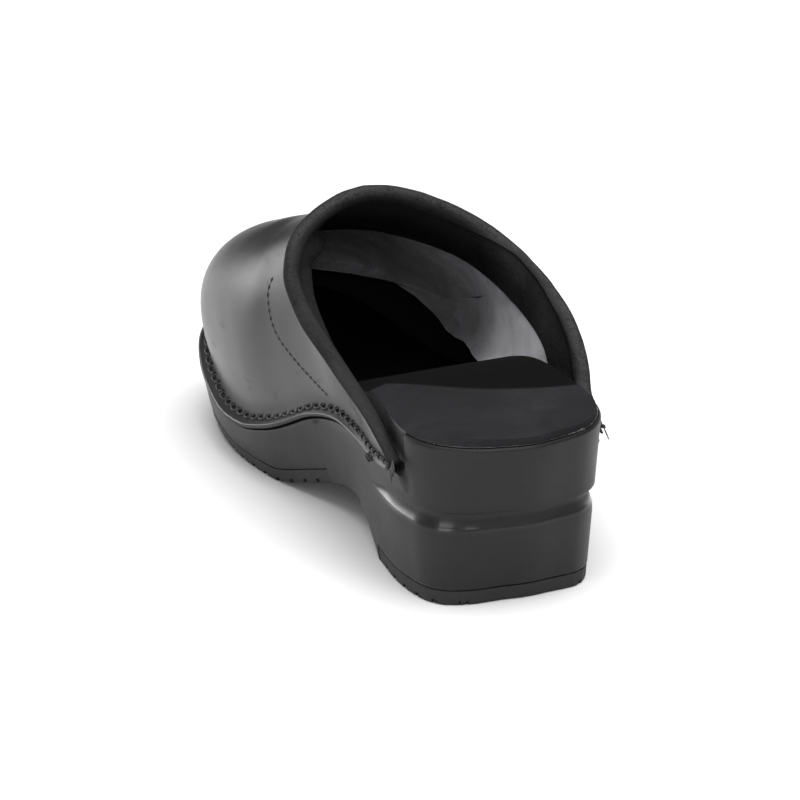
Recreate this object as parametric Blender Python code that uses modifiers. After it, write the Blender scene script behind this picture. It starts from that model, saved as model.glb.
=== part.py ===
"""Open-back work clog for the right foot.

Six pieces: a moulded sole unit with a grooved heel block, a heel tread and a forefoot
tread under it, a thin insole on its foot bed, a one-piece leather upper with an
out-turned flange that sits on a ledge of the sole, and a padded collar round the topline.

Metres, +Z up, +Y to the toe, +X to the outer (lateral) side. The origin is the middle of
the bottom of the shoe's bounding box.
"""

import math

import bmesh
import bpy
import numpy as np

# Driving dimensions
SHOE_LENGTH = 0.255
BALL_WIDTH = 0.0902
HEEL_WIDTH = 0.0730
HEEL_HEIGHT = 0.0570
INSTEP_HEIGHT = 0.1106

# Sole unit
SOLE_TUCK = 0.0062
HEEL_CUP = 0.0016
EDGE_ROUND = 0.0008
GROOVE_DEPTH = 0.0022
GROOVE_REACH = 0.0625
LEDGE_START = 0.0304
LEDGE_RUN = 0.0030

# Treads
TREAD_THICKNESS = 0.0050
HEEL_TREAD_END = 0.0630
FORE_TREAD_START = 0.1120
LUG_PITCH = 0.0090
LUG_GAP = 0.0020
LUG_DEPTH = 0.0013
LUG_WALL = 0.0002
TREAD_ROUND = 0.5
TREAD_FLUSH = 0.2

# Upper, collar and insole
UPPER_WALL = 0.0020
BEAD_THICKNESS = 0.0056
COLLAR_BAND_WIDTH = 0.0180
COLLAR_BAND_WALL = 0.0014
COLLAR_END_WALL = 0.0006
INSOLE_WALL = 0.0026
INSOLE_SETBACK = 0.0008
FIT_GAP = 0.0003

# Mesh fineness
UPPER_COLUMNS = 16
UPPER_ROWS = 19
BED_COLUMNS = 7
TREAD_COLUMNS = 3
BEND_ROWS = (6, 9)


def table(names, *rows):
    """A table of sections: one named column for each word of names."""
    columns = zip(*rows)
    return {name: np.array(values) for name, values in zip(names.split(), columns)}


# Plan outline of the sole's top edge from heel to toe. Along is a share of SHOE_LENGTH.
# Medial and lateral are shares of the local width, which goes from HEEL_WIDTH where ball
# is 0 to BALL_WIDTH where ball is 1. The tucks are shares of SOLE_TUCK.
OUTLINE = table(
    "along medial lateral ball tuck_medial tuck_lateral",
    (0.0000, -0.027, -0.027, 0.00, 1.75, 1.75),
    (0.0080, -0.178, 0.130, 0.00, 1.65, 1.55),
    (0.0235, -0.315, 0.272, 0.00, 1.20, 1.15),
    (0.0550, -0.438, 0.380, 0.00, 0.58, 0.95),
    (0.0863, -0.492, 0.432, 0.00, 0.45, 1.10),
    (0.1216, -0.514, 0.462, 0.00, 0.45, 1.15),
    (0.2745, -0.484, 0.500, 0.15, 0.70, 1.05),
    (0.3922, -0.428, 0.502, 0.50, 0.90, 1.00),
    (0.5098, -0.441, 0.511, 0.85, 1.00, 1.00),
    (0.6275, -0.479, 0.521, 1.00, 0.95, 1.00),
    (0.7451, -0.475, 0.483, 1.00, 0.70, 1.00),
    (0.8431, -0.424, 0.420, 1.00, 0.58, 1.00),
    (0.9176, -0.335, 0.342, 1.00, 0.58, 0.90),
    (0.9647, -0.232, 0.233, 1.00, 0.70, 0.85),
    (0.9906, -0.134, 0.114, 1.00, 0.80, 0.85),
    (1.0000, -0.010, -0.010, 1.00, 0.85, 0.85),
)

# Side profile. Along is a share of SHOE_LENGTH, the heights are shares of HEEL_HEIGHT:
# the underside, the edge of the upper's flange, and the foot bed.
PROFILE = table(
    "along floor seam bed",
    (0.000, 0.000, 0.770, 1.000),
    (0.122, 0.000, 0.770, 1.005),
    (0.165, 0.000, 0.755, 1.005),
    (0.243, 0.000, 0.728, 1.005),
    (0.266, 0.064, 0.731, 1.000),
    (0.290, 0.146, 0.733, 0.982),
    (0.314, 0.209, 0.733, 0.958),
    (0.337, 0.240, 0.730, 0.930),
    (0.361, 0.250, 0.725, 0.895),
    (0.384, 0.242, 0.712, 0.860),
    (0.424, 0.210, 0.675, 0.790),
    (0.463, 0.157, 0.619, 0.719),
    (0.510, 0.090, 0.519, 0.637),
    (0.557, 0.024, 0.426, 0.544),
    (0.588, 0.000, 0.381, 0.491),
    (0.647, 0.000, 0.319, 0.439),
    (0.706, 0.010, 0.305, 0.440),
    (0.784, 0.046, 0.365, 0.478),
    (0.882, 0.116, 0.474, 0.562),
    (1.000, 0.246, 0.561, 0.632),
)

# Levels of the sole's side wall, from the bottom edge to the ledge. Heel is the height on
# the heel block as a share of HEEL_HEIGHT, fore the share of the forefoot wall, recess the
# share of GROOVE_DEPTH, and inset how far the edge is rounded in, in shares of EDGE_ROUND.
LEVELS = table(
    "heel fore recess inset",
    (0.094, 0.00, 0.00, 0.30),
    (0.108, 0.05, 0.00, 0.00),
    (0.260, 0.28, 0.00, 0.00),
    (0.410, 0.46, 0.00, 0.00),
    (0.470, 0.55, 0.10, 0.00),
    (0.500, 0.63, 0.50, 0.00),
    (0.545, 0.71, 1.00, 0.00),
    (0.576, 0.79, 0.92, 0.00),
    (0.588, 0.86, 0.00, 0.00),
    (0.635, 0.93, 0.00, 0.00),
)
GROOVE_TIP_HEIGHT = 0.505
GROOVE_ROWS = (4, 9)

# Sections of the upper, one for each outline row from the collar's end to the toe tip.
# Spine is the top of the section: along as a share of SHOE_LENGTH, height as a share of
# INSTEP_HEIGHT, side as a share of BALL_WIDTH. Power is the superellipse exponent, swell
# the bulge of the wall as a share of BALL_WIDTH, slope the part of the rise that is
# straight, plan how far the section stands upright, topline how much of the topline's own
# shape it keeps, foot the wall's distance inside the sole's edge as a share of BALL_WIDTH,
# and droop the flange's fall to its edge as a share of HEEL_HEIGHT.
VAMP = table(
    "spine_along spine_height spine_side power swell slope plan topline "
    "foot_medial foot_lateral flange droop",
    (0.508, 0.992, -0.078, 2.30, 0.000, 0.00, 0.0, 1.00, -0.027, -0.027, 0.012, 0.050),
    (0.544, 0.945, -0.084, 2.30, 0.018, 0.00, 0.0, 0.62, 0.022, 0.018, 0.026, 0.046),
    (0.580, 0.898, -0.100, 2.35, 0.036, 0.00, 0.0, 0.34, 0.034, 0.034, 0.038, 0.044),
    (0.620, 0.852, -0.111, 2.40, 0.050, 0.00, 0.0, 0.14, 0.042, 0.042, 0.046, 0.046),
    (0.661, 0.812, -0.122, 2.22, 0.068, 0.00, 0.3, 0.03, 0.046, 0.046, 0.050, 0.046),
    (0.702, 0.776, -0.133, 2.10, 0.070, 0.00, 0.8, 0.00, 0.046, 0.046, 0.050, 0.046),
    (0.737, 0.744, -0.133, 2.02, 0.066, 0.08, 1.0, 0.00, 0.046, 0.046, 0.050, 0.046),
    (0.765, 0.720, -0.127, 2.00, 0.058, 0.18, 1.0, 0.00, 0.046, 0.046, 0.050, 0.046),
    (0.784, 0.703, -0.122, 2.00, 0.052, 0.28, 1.0, 0.00, 0.046, 0.046, 0.050, 0.046),
    (0.798, 0.690, -0.111, 2.00, 0.048, 0.36, 1.0, 0.00, 0.046, 0.046, 0.050, 0.046),
    (0.804, 0.685, -0.105, 2.00, 0.046, 0.40, 1.0, 0.00, 0.046, 0.046, 0.050, 0.046),
)
FIRST_SECTION = 5
SWELL_PLACE = 0.70
SWELL_START = 1.5

# The topline on each side, from the flange to the top of the instep. Way is the share of
# its length; out, fore and up are shares of the first section's half width, run and rise.
TOPLINE_MEDIAL = table(
    "way out fore up",
    (0.000, 1.000, 0.000, 0.000),
    (0.120, 0.994, 0.193, 0.130),
    (0.320, 1.021, 0.487, 0.284),
    (0.520, 1.112, 0.731, 0.481),
    (0.610, 1.116, 0.823, 0.597),
    (0.700, 1.020, 0.893, 0.745),
    (0.775, 0.855, 0.940, 0.840),
    (0.865, 0.550, 0.978, 0.930),
    (0.945, 0.215, 0.996, 0.988),
    (1.000, 0.000, 1.000, 1.000),
)
TOPLINE_LATERAL = table(
    "way out fore up",
    (0.000, 1.000, 0.000, 0.000),
    (0.100, 1.118, 0.213, 0.092),
    (0.165, 1.176, 0.289, 0.203),
    (0.240, 1.223, 0.386, 0.295),
    (0.330, 1.253, 0.512, 0.389),
    (0.420, 1.258, 0.650, 0.464),
    (0.520, 1.225, 0.797, 0.543),
    (0.625, 1.110, 0.918, 0.641),
    (0.710, 0.925, 0.980, 0.742),
    (0.790, 0.695, 1.008, 0.838),
    (0.880, 0.400, 1.012, 0.934),
    (0.950, 0.170, 1.006, 0.983),
    (1.000, 0.000, 1.000, 1.000),
)

# Cross-section of the collar: way is the distance from the topline along the upper, deep
# the distance in from the upper's face. Both are shares: of BEAD_THICKNESS in the first
# table, where deep counts from the outer face, and of COLLAR_BAND_WIDTH in the second.
BEAD = table(
    "way deep",
    (0.48, -0.13),
    (0.25, -0.16),
    (0.03, -0.04),
    (-0.08, 0.20),
    (-0.03, 0.48),
    (0.20, 0.72),
    (0.56, 0.83),
    (1.05, 0.78),
)
BAND_WAYS = (0.50, 0.83, 1.00)

COLOURS = {
    "sole": (0.050, 0.049, 0.051, 0.46),
    "tread_heel": (0.040, 0.040, 0.041, 0.60),
    "tread_forefoot": (0.040, 0.040, 0.041, 0.60),
    "insole": (0.034, 0.034, 0.037, 0.85),
    "upper": (0.036, 0.034, 0.035, 0.34),
    "collar": (0.016, 0.015, 0.015, 0.48),
}

# The wall's inner corner at its foot lies this many wall thicknesses inside it
CORNER_SPREAD = 1.3

# Where forms change, from and to, as shares of SHOE_LENGTH: the heel's cup starts and ends,
# the levels of the heel block give way to the forefoot's, the sole's wall comes down to the
# flange, and the ledge no longer has to clear the collar's end
CUP_START = (0.008, 0.060)
CUP_END = (0.200, 0.340)
HEEL_BLOCK_END = (0.25, 0.34)
WALL_LOWERS = (0.20, 0.36)
COLLAR_CLEARED = (0.36, 0.44)

# Shares of the groove's reach where it starts to fade and to close, and how far it closes
GROOVE_FADES = 0.80
GROOVE_CLOSES = 0.62
GROOVE_CLOSING = 0.75

# The flange's middle line, and the steps of the plain heel wall above the groove, as shares
FLANGE_MIDDLE = 0.55
PLAIN_STEPS = (0.20, 0.45)

# The collar's padding and its band grow from the ends between these shares of each side
PAD_GROWS = (0.16, 0.45)
BAND_GROWS = (0.05, 0.40)
BAND_AT_END = 0.30

MEDIAL = "medial"
LATERAL = "lateral"


def clear_scene():
    for obj in list(bpy.data.objects):
        bpy.data.objects.remove(obj, do_unlink=True)


def lerp(a, b, share):
    return a + (b - a) * share


def ease(low, high, value):
    """Smooth step from 0 at low to 1 at high."""
    share = min(max((value - low) / (high - low), 0.0), 1.0)
    return share * share * (3.0 - 2.0 * share)


def hermite(y0, y1, m0, m1, share):
    s2 = share * share
    s3 = s2 * share
    return ((2 * s3 - 3 * s2 + 1) * y0 + (s3 - 2 * s2 + share) * m0
            + (3 * s2 - 2 * s3) * y1 + (s3 - s2) * m1)


def row_places():
    """Length of the outline up to each row, which keeps its curves from swinging."""
    half = (OUTLINE["lateral"] - OUTLINE["medial"]) / 2
    half = half * lerp(HEEL_WIDTH, BALL_WIDTH, OUTLINE["ball"])
    steps = np.hypot(np.diff(OUTLINE["along"]) * SHOE_LENGTH, np.diff(half))
    return np.concatenate([[0.0], np.cumsum(steps)])


ROW_PLACES = row_places()


def by_row(values, row, first=0, level_ends=False):
    """Value of a column at a fractional row, on a smooth curve through every row."""
    places = ROW_PLACES[first:first + len(values)]
    last = len(values) - 1
    index = min(max(int(math.floor(row)), 0), last - 1)

    def rise(at):
        return (values[at + 1] - values[at]) / (places[at + 1] - places[at])

    def slope(at):
        if at in (0, last):
            return 0.0 if level_ends else rise(min(at, last - 1))
        before = places[at] - places[at - 1]
        after = places[at + 1] - places[at]
        return (after * rise(at - 1) + before * rise(at)) / (before + after)

    step = places[index + 1] - places[index]
    return hermite(values[index], values[index + 1],
                   slope(index) * step, slope(index + 1) * step, row - index)


def by_key(keys, values, key):
    """Value of a column at a key, on a curve that never overshoots its rows."""
    key = min(max(key, keys[0]), keys[-1])
    index = min(int(np.searchsorted(keys, key, side="right")) - 1, len(keys) - 2)
    steps = np.diff(keys)
    rises = np.diff(values) / steps

    def slope(row):
        if row == 0:
            return rises[0]
        if row == len(keys) - 1:
            return rises[-1]
        left, right = rises[row - 1], rises[row]
        if left * right <= 0:
            return 0.0
        return 2.0 * left * right / (left + right)

    width = steps[index]
    share = (key - keys[index]) / width
    return hermite(values[index], values[index + 1],
                   slope(index) * width, slope(index + 1) * width, share)


def profile(name, along):
    """Height of the named line of the side profile at a distance from the heel."""
    return by_key(PROFILE["along"], PROFILE[name], along / SHOE_LENGTH) * HEEL_HEIGHT


def along_of(row):
    return by_row(OUTLINE["along"], row, level_ends=True) * SHOE_LENGTH


def outline_point(side, row):
    """Point of the sole's top edge, in plan."""
    width = lerp(HEEL_WIDTH, BALL_WIDTH, by_row(OUTLINE["ball"], row))
    return np.array([by_row(OUTLINE[side], row) * width, along_of(row)])


def outward(side, row):
    """Unit vector out of the outline, in plan."""
    last = len(OUTLINE["along"]) - 1
    if row <= 0.0:
        return np.array([0.0, -1.0])
    if row >= last:
        return np.array([0.0, 1.0])
    step = min(0.15, row, last - row)
    run = outline_point(side, row + step) - outline_point(side, row - step)
    run /= np.linalg.norm(run)
    turn = -1.0 if side == MEDIAL else 1.0
    return np.array([run[1], -run[0]]) * turn


def inset_point(side, row, inset):
    return outline_point(side, row) - outward(side, row) * inset


def row_at(along):
    """Outline row at a distance from the heel."""
    low, high = 0.0, len(OUTLINE["along"]) - 1.0
    for _ in range(50):
        middle = (low + high) / 2
        if along_of(middle) < along:
            low = middle
        else:
            high = middle
    return (low + high) / 2


def tuck(side, row, height):
    """How far the sole's wall lies inside its top edge at a height."""
    along = along_of(row)
    at_floor = by_row(OUTLINE["tuck_" + side], row) * SOLE_TUCK
    top = lerp(HEEL_HEIGHT, profile("seam", along), ease(*WALL_LOWERS, along / SHOE_LENGTH))
    bottom = profile("floor", along)
    return at_floor * min(max((top - height) / (top - bottom), 0.0), 1.0)


def vamp_value(name, row):
    return by_row(VAMP[name], row - FIRST_SECTION, first=FIRST_SECTION)


def flange_edge(side, row):
    """Outer edge of the upper's flange, top face."""
    edge = inset_point(side, row, edge_inset(side, row))
    return np.array([*edge, profile("seam", along_of(row))])


def foot_inset(side, row):
    return vamp_value("foot_" + side, max(row, FIRST_SECTION)) * BALL_WIDTH


def edge_inset(side, row):
    return foot_inset(side, row) - vamp_value("flange", max(row, FIRST_SECTION)) * BALL_WIDTH


def wall_foot(side, row):
    """Where the upper's wall turns out into its flange."""
    foot = inset_point(side, row, foot_inset(side, row))
    rise = vamp_value("droop", row) * HEEL_HEIGHT
    return np.array([*foot, profile("seam", along_of(row)) + rise])


def spine_point(row):
    return np.array([
        vamp_value("spine_side", row) * BALL_WIDTH,
        vamp_value("spine_along", row) * SHOE_LENGTH,
        vamp_value("spine_height", row) * INSTEP_HEIGHT,
    ])


def swell_shape(way):
    """Bulge of the wall, lowest third fullest: 0 at the foot and on the spine."""
    return max(math.sin(math.pi * way ** SWELL_PLACE), 0.0) ** SWELL_START


def upper_point(side, row, way):
    """Point of the upper's outer face: way is 0 at the wall's foot and 1 on the spine."""
    foot = wall_foot(side, row)
    spine = spine_point(row)
    angle = way * math.pi / 2
    power = 2.0 / vamp_value("power", row)
    out = max(math.cos(angle), 0.0) ** power
    up = math.sin(angle) ** power
    slope = vamp_value("slope", row)
    up = lerp(up, 1.0 - out, slope)
    fore = lerp(up, 1.0 - out, vamp_value("plan", row))

    topline = TOPLINE_MEDIAL if side == MEDIAL else TOPLINE_LATERAL
    keep = vamp_value("topline", row)
    out = lerp(out, by_key(topline["way"], topline["out"], way), keep)
    fore = lerp(fore, by_key(topline["way"], topline["fore"], way), keep)
    up = lerp(up, by_key(topline["way"], topline["up"], way), keep)

    swell = vamp_value("swell", row) * BALL_WIDTH * swell_shape(way)
    push = outward(side, row) * swell
    return np.array([
        lerp(spine[0], foot[0], out) + push[0],
        lerp(foot[1], spine[1], fore) + push[1],
        lerp(foot[2], spine[2], up),
    ])


def face_column(side, column):
    """Fine line on the upper's face from the topline to the toe, with its arc lengths."""
    rows = np.linspace(FIRST_SECTION, len(OUTLINE["along"]) - 1, 121)
    if column == -2:
        points = np.array([flange_edge(side, row) for row in rows])
    elif column == -1:
        points = np.array([lerp(flange_edge(side, row), wall_foot(side, row), FLANGE_MIDDLE)
                           for row in rows])
    else:
        way = column / UPPER_COLUMNS
        points = np.array([upper_point(side, row, way) for row in rows])
    steps = np.linalg.norm(np.diff(points, axis=0), axis=1)
    return points, np.concatenate([[0.0], np.cumsum(steps)])


def along_column(line, distance):
    points, lengths = line
    if distance < 0.0:
        start = points[0] - points[2]
        return points[0] + start / np.linalg.norm(start) * -distance
    return np.array([np.interp(distance, lengths, points[:, axis]) for axis in range(3)])


def face_columns(first):
    """Columns of the upper's face, medial to lateral over the spine."""
    medial = [face_column(MEDIAL, column) for column in range(first, UPPER_COLUMNS + 1)]
    lateral = [face_column(LATERAL, column) for column in range(first, UPPER_COLUMNS)]
    return medial + lateral[::-1]


def grid_normals(grid):
    """Unit normals of a grid of points, out of the shoe."""
    along = np.gradient(grid, axis=0)
    across = np.gradient(grid, axis=1)
    normals = np.cross(across, along)
    return normals / np.linalg.norm(normals, axis=2, keepdims=True)


def new_object(name, mesh, collection):
    mesh.shade_smooth()
    mesh.set_sharp_from_angle(angle=math.radians(38))
    obj = bpy.data.objects.new(name, mesh)
    obj.data.materials.append(make_material(name))
    collection.objects.link(obj)
    return obj


def make_material(name):
    material = bpy.data.materials.new(name)
    material.use_nodes = True
    shader = material.node_tree.nodes["Principled BSDF"]
    red, green, blue, roughness = COLOURS[name]
    shader.inputs["Base Color"].default_value = (red, green, blue, 1.0)
    shader.inputs["Roughness"].default_value = roughness
    shader.inputs["Metallic"].default_value = 0.0
    return material


def loft(name, loops, collection, closed_ends=(True, True)):
    """Closed skin over loops of equal count; ends are capped unless they come to a point."""
    mesh = bpy.data.meshes.new(name)
    bm = bmesh.new()
    rows = [[bm.verts.new(point) for point in loop] for loop in loops]
    count = len(rows[0])
    for here, there in zip(rows, rows[1:]):
        for index in range(count):
            following = (index + 1) % count
            bm.faces.new((here[index], here[following], there[following], there[index]))
    if closed_ends[0]:
        bm.faces.new(rows[0])
    if closed_ends[1]:
        bm.faces.new(rows[-1])
    bmesh.ops.remove_doubles(bm, verts=bm.verts, dist=1e-6)
    bmesh.ops.dissolve_degenerate(bm, dist=1e-7, edges=bm.edges)
    bmesh.ops.recalc_face_normals(bm, faces=bm.faces)
    bm.to_mesh(mesh)
    bm.free()
    return new_object(name, mesh, collection)


def across(medial, lateral, columns, height):
    """Points between two edge points; height gives z from the share across and y."""
    points = []
    for column in range(1, columns + 1):
        share = column / (columns + 1)
        point = lerp(medial, lateral, share)
        points.append((point[0], point[1], height(share, point)))
    return points


def bed_height(share, point):
    """Foot bed: level at its edges, cupped in the heel."""
    along = point[1] / SHOE_LENGTH
    cup = HEEL_CUP * (1.0 - (2.0 * share - 1.0) ** 2)
    cup *= ease(*CUP_START, along) * (1.0 - ease(*CUP_END, along))
    return profile("bed", point[1]) - cup


def ledge_share(along):
    """0 on the heel's plain wall, 1 where the upper's flange has its ledge."""
    return ease(LEDGE_START - LEDGE_RUN, LEDGE_START, along)


def riser_inset(side, row):
    """Distance from the sole's edge to the riser inside the upper's wall."""
    along = along_of(row)
    collar_end = COLLAR_END_WALL + 2.5 * FIT_GAP
    collar_end *= 1.0 - ease(*COLLAR_CLEARED, along / SHOE_LENGTH)
    inside = foot_inset(side, row) + CORNER_SPREAD * UPPER_WALL + 2 * FIT_GAP + collar_end
    return inside * ledge_share(along)


def under_flange(side, row, share):
    """Point of the sole's ledge: share is 0 at the wall's foot and 1 at the edge."""
    safe_row = max(row, FIRST_SECTION)
    edge = flange_edge(side, safe_row)
    foot = wall_foot(side, safe_row)
    fall = foot[2] - edge[2]
    run = np.linalg.norm(foot[:2] - edge[:2])
    slant = math.atan2(fall, run)
    thickness = UPPER_WALL + 1.6 * FIT_GAP
    edge_at = edge_inset(side, row)
    inset = lerp(riser_inset(side, row), edge_at + thickness * math.sin(slant), share)
    reach = inset - edge_at
    height = edge[2] - thickness / math.cos(slant) + fall * reach / run
    corner = foot[2] - thickness * math.tan(math.pi / 4 - slant / 2) - FIT_GAP
    return inset, min(height, corner)


def tread_cover(along):
    """1 where a tread lies under the sole, 0 along the bare arch."""
    clear = 2.5 * FIT_GAP
    return float(along < HEEL_TREAD_END + clear or along > FORE_TREAD_START - clear)


def sole_side(side, row):
    """Points of one side of the sole at a row, from the bottom edge to the foot bed."""
    along = along_of(row)
    heel = 1.0 - ease(*HEEL_BLOCK_END, along / SHOE_LENGTH)
    ledge = ledge_share(along)
    ledge_inset, ledge_height = under_flange(side, row, 1.0)
    inner_inset, inner_height = under_flange(side, row, 0.0)
    bottom = profile("floor", along) + (TREAD_THICKNESS + FIT_GAP) * tread_cover(along)
    depth = GROOVE_DEPTH * (1.0 - ease(GROOVE_FADES * GROOVE_REACH, GROOVE_REACH, along))
    opening = 1.0 - GROOVE_CLOSING * ease(GROOVE_CLOSES * GROOVE_REACH, GROOVE_REACH, along)

    points = []
    for level in range(len(LEVELS["heel"])):
        on_heel = LEVELS["heel"][level]
        if GROOVE_ROWS[0] <= level < GROOVE_ROWS[1]:
            on_heel = lerp(GROOVE_TIP_HEIGHT, on_heel, opening)
        heel_height = on_heel * HEEL_HEIGHT
        fore_height = lerp(bottom, ledge_height, LEVELS["fore"][level])
        height = lerp(fore_height, heel_height, heel)
        if level < 2:
            height = bottom + EDGE_ROUND * level
        inset = tuck(side, row, height) + depth * LEVELS["recess"][level]
        inset += EDGE_ROUND * LEVELS["inset"][level]
        points.append((*inset_point(side, row, inset), height))

    bed = profile("bed", inset_point(side, row, inner_inset)[1])
    steps = (
        (ledge_inset, ledge_height, lerp(LEVELS["heel"][-1], 1.0, PLAIN_STEPS[0]) * HEEL_HEIGHT),
        (inner_inset, inner_height, lerp(LEVELS["heel"][-1], 1.0, PLAIN_STEPS[1]) * HEEL_HEIGHT),
        (inner_inset, bed - EDGE_ROUND, bed - EDGE_ROUND),
    )
    for inset, height, heel_height in steps:
        height = lerp(heel_height, height, ledge)
        inset = lerp(tuck(side, row, height), inset, ledge)
        points.append((*inset_point(side, row, inset), height))
    top = lerp(EDGE_ROUND, inner_inset + EDGE_ROUND / 2, ledge)
    edge = inset_point(side, row, top)
    points.append((*edge, profile("bed", edge[1])))
    return points


def even_rows():
    """Outline rows between the ends, closer together in the bends of the side profile."""
    last = len(OUTLINE["along"]) - 1
    halves = [index / 2 for index in range(1, 2 * last)]
    quarters = [BEND_ROWS[0] + index / 4 for index in range(4 * (BEND_ROWS[1] - BEND_ROWS[0]))]
    return sorted({*halves, *quarters, 0.25, last - 0.25})


def sole_rows():
    """Outline rows of the sole's slices: even ones and those where its form changes."""
    last = len(OUTLINE["along"]) - 1
    marks = (
        LEDGE_START - LEDGE_RUN, LEDGE_START,
        GROOVE_FADES * GROOVE_REACH, lerp(GROOVE_FADES, 1.0, 0.6) * GROOVE_REACH, GROOVE_REACH,
        HEEL_TREAD_END + 2 * FIT_GAP, HEEL_TREAD_END + 3 * FIT_GAP,
        FORE_TREAD_START - 3 * FIT_GAP, FORE_TREAD_START - 2 * FIT_GAP,
    )
    marked = [row_at(mark) for mark in marks]
    rows = [row for row in even_rows() if all(abs(row - mark) > 0.12 for mark in marked)]
    return sorted(rows + marked + [0.0, float(last)])


def build_sole(collection):
    loops = []
    for row in sole_rows():
        medial = [np.array(point) for point in sole_side(MEDIAL, row)]
        lateral = [np.array(point) for point in sole_side(LATERAL, row)]
        base = medial[0][2]
        under = across(medial[0], lateral[0], TREAD_COLUMNS, lambda share, point, z=base: z)
        bed = across(lateral[-1], medial[-1], BED_COLUMNS, bed_height)
        loops.append(medial[::-1] + under + lateral + bed)
    return loft("sole", loops, collection, closed_ends=(False, False))


def build_tread(name, start, end, round_end, collection):
    """Tread slab under the sole, with lugs across it; round_end is its rounded end's row."""
    rows = {row for row in even_rows()
            if start < along_of(row) < end}
    rows |= {round_end, row_at(end if round_end == 0 else start)}
    grooves = []
    count = int(round((end - start) / LUG_PITCH)) - 1
    for index in range(1, count + 1):
        grooves.append(start + (end - start) * index / (count + 1))
    notched = {}
    for groove in grooves:
        for shift, deep in ((-0.5 * LUG_GAP - LUG_WALL, 0), (-0.5 * LUG_GAP, 1),
                            (0.5 * LUG_GAP, 1), (0.5 * LUG_GAP + LUG_WALL, 0)):
            notched[row_at(groove + shift)] = deep
    rows = {row for row in rows if all(abs(row - mark) > 0.03 for mark in notched)}
    rows |= set(notched)

    loops = []
    for row in sorted(rows):
        sides = []
        for side in (MEDIAL, LATERAL):
            floor = profile("floor", along_of(row))
            top = floor + TREAD_THICKNESS
            low = floor + LUG_DEPTH * notched.get(row, 0)
            notch = LUG_DEPTH * notched.get(row, 0)
            over_lug = floor + LUG_DEPTH + LUG_WALL
            points = []
            for height, drawn_in in ((low, TREAD_ROUND * EDGE_ROUND + notch),
                                     (over_lug, TREAD_FLUSH * EDGE_ROUND),
                                     (top, TREAD_FLUSH * EDGE_ROUND)):
                inset = tuck(side, row, height) + drawn_in
                points.append(np.array([*inset_point(side, row, inset), height]))
            sides.append(points)
        (medial_low, medial_side, medial_top), (lateral_low, lateral_side, lateral_top) = sides
        under = across(medial_low, lateral_low, TREAD_COLUMNS,
                       lambda share, point, z=medial_low[2]: z)
        over = across(lateral_top, medial_top, TREAD_COLUMNS,
                      lambda share, point, z=medial_top[2]: z)
        loops.append([medial_top, medial_side, medial_low] + under
                     + [lateral_low, lateral_side, lateral_top] + over)
    return loft(name, loops, collection, closed_ends=(round_end != 0, round_end == 0))


def build_insole(collection):
    loops = []
    for row in sole_rows():
        along = along_of(row)
        edges = []
        for side in (MEDIAL, LATERAL):
            inset = lerp(EDGE_ROUND + INSOLE_SETBACK, riser_inset(side, row), ledge_share(along))
            edges.append(inset_point(side, row, inset))
        medial, lateral = edges
        slice_points = []
        for lift, start, end in ((FIT_GAP, medial, lateral),
                                 (FIT_GAP + INSOLE_WALL, lateral, medial)):
            raised = [(*start, profile("bed", start[1]) + lift)]
            raised += across(start, end, BED_COLUMNS,
                             lambda share, point, up=lift: bed_height(share, point) + up)
            raised.append((*end, profile("bed", end[1]) + lift))
            slice_points += raised
        loops.append(slice_points)
    return loft("insole", loops, collection, closed_ends=(False, False))


def collar_ways():
    """Distances from the topline of the upper's first rows, which the collar shares."""
    start = BEAD["way"][0] * BEAD_THICKNESS + 3 * FIT_GAP
    return [start] + [share * COLLAR_BAND_WIDTH for share in BAND_WAYS]


def upper_grid(columns, ways, rows):
    """Rows of points: some at fixed distances from the topline, the rest on to the toe."""
    grid = [[along_column(line, way) for line in columns] for way in ways]
    for index in range(1, rows + 1):
        share = index / rows
        row = []
        for line in columns:
            total = line[1][-1]
            row.append(along_column(line, lerp(ways[-1], total, share)))
        grid.append(row)
    return np.array(grid)


def build_upper(collection):
    columns = face_columns(first=-2)
    grid = upper_grid(columns, collar_ways(), UPPER_ROWS)
    mesh = bpy.data.meshes.new("upper")
    bm = bmesh.new()
    rows = [[bm.verts.new(point) for point in row] for row in grid]
    for here, there in zip(rows, rows[1:]):
        for index in range(len(here) - 1):
            bm.faces.new((here[index], here[index + 1], there[index + 1], there[index]))
    bmesh.ops.remove_doubles(bm, verts=bm.verts, dist=1e-6)
    bmesh.ops.dissolve_degenerate(bm, dist=1e-7, edges=bm.edges)
    bmesh.ops.recalc_face_normals(bm, faces=bm.faces)
    top = max(bm.faces, key=lambda face: face.calc_center_median().z)
    if top.normal.z < 0:
        bmesh.ops.reverse_faces(bm, faces=bm.faces)
    bm.to_mesh(mesh)
    bm.free()
    upper = new_object("upper", mesh, collection)
    solidify = upper.modifiers.new("wall", "SOLIDIFY")
    solidify.thickness = UPPER_WALL
    solidify.offset = -1.0
    solidify.use_even_offset = True
    solidify.use_quality_normals = True
    return upper


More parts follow.
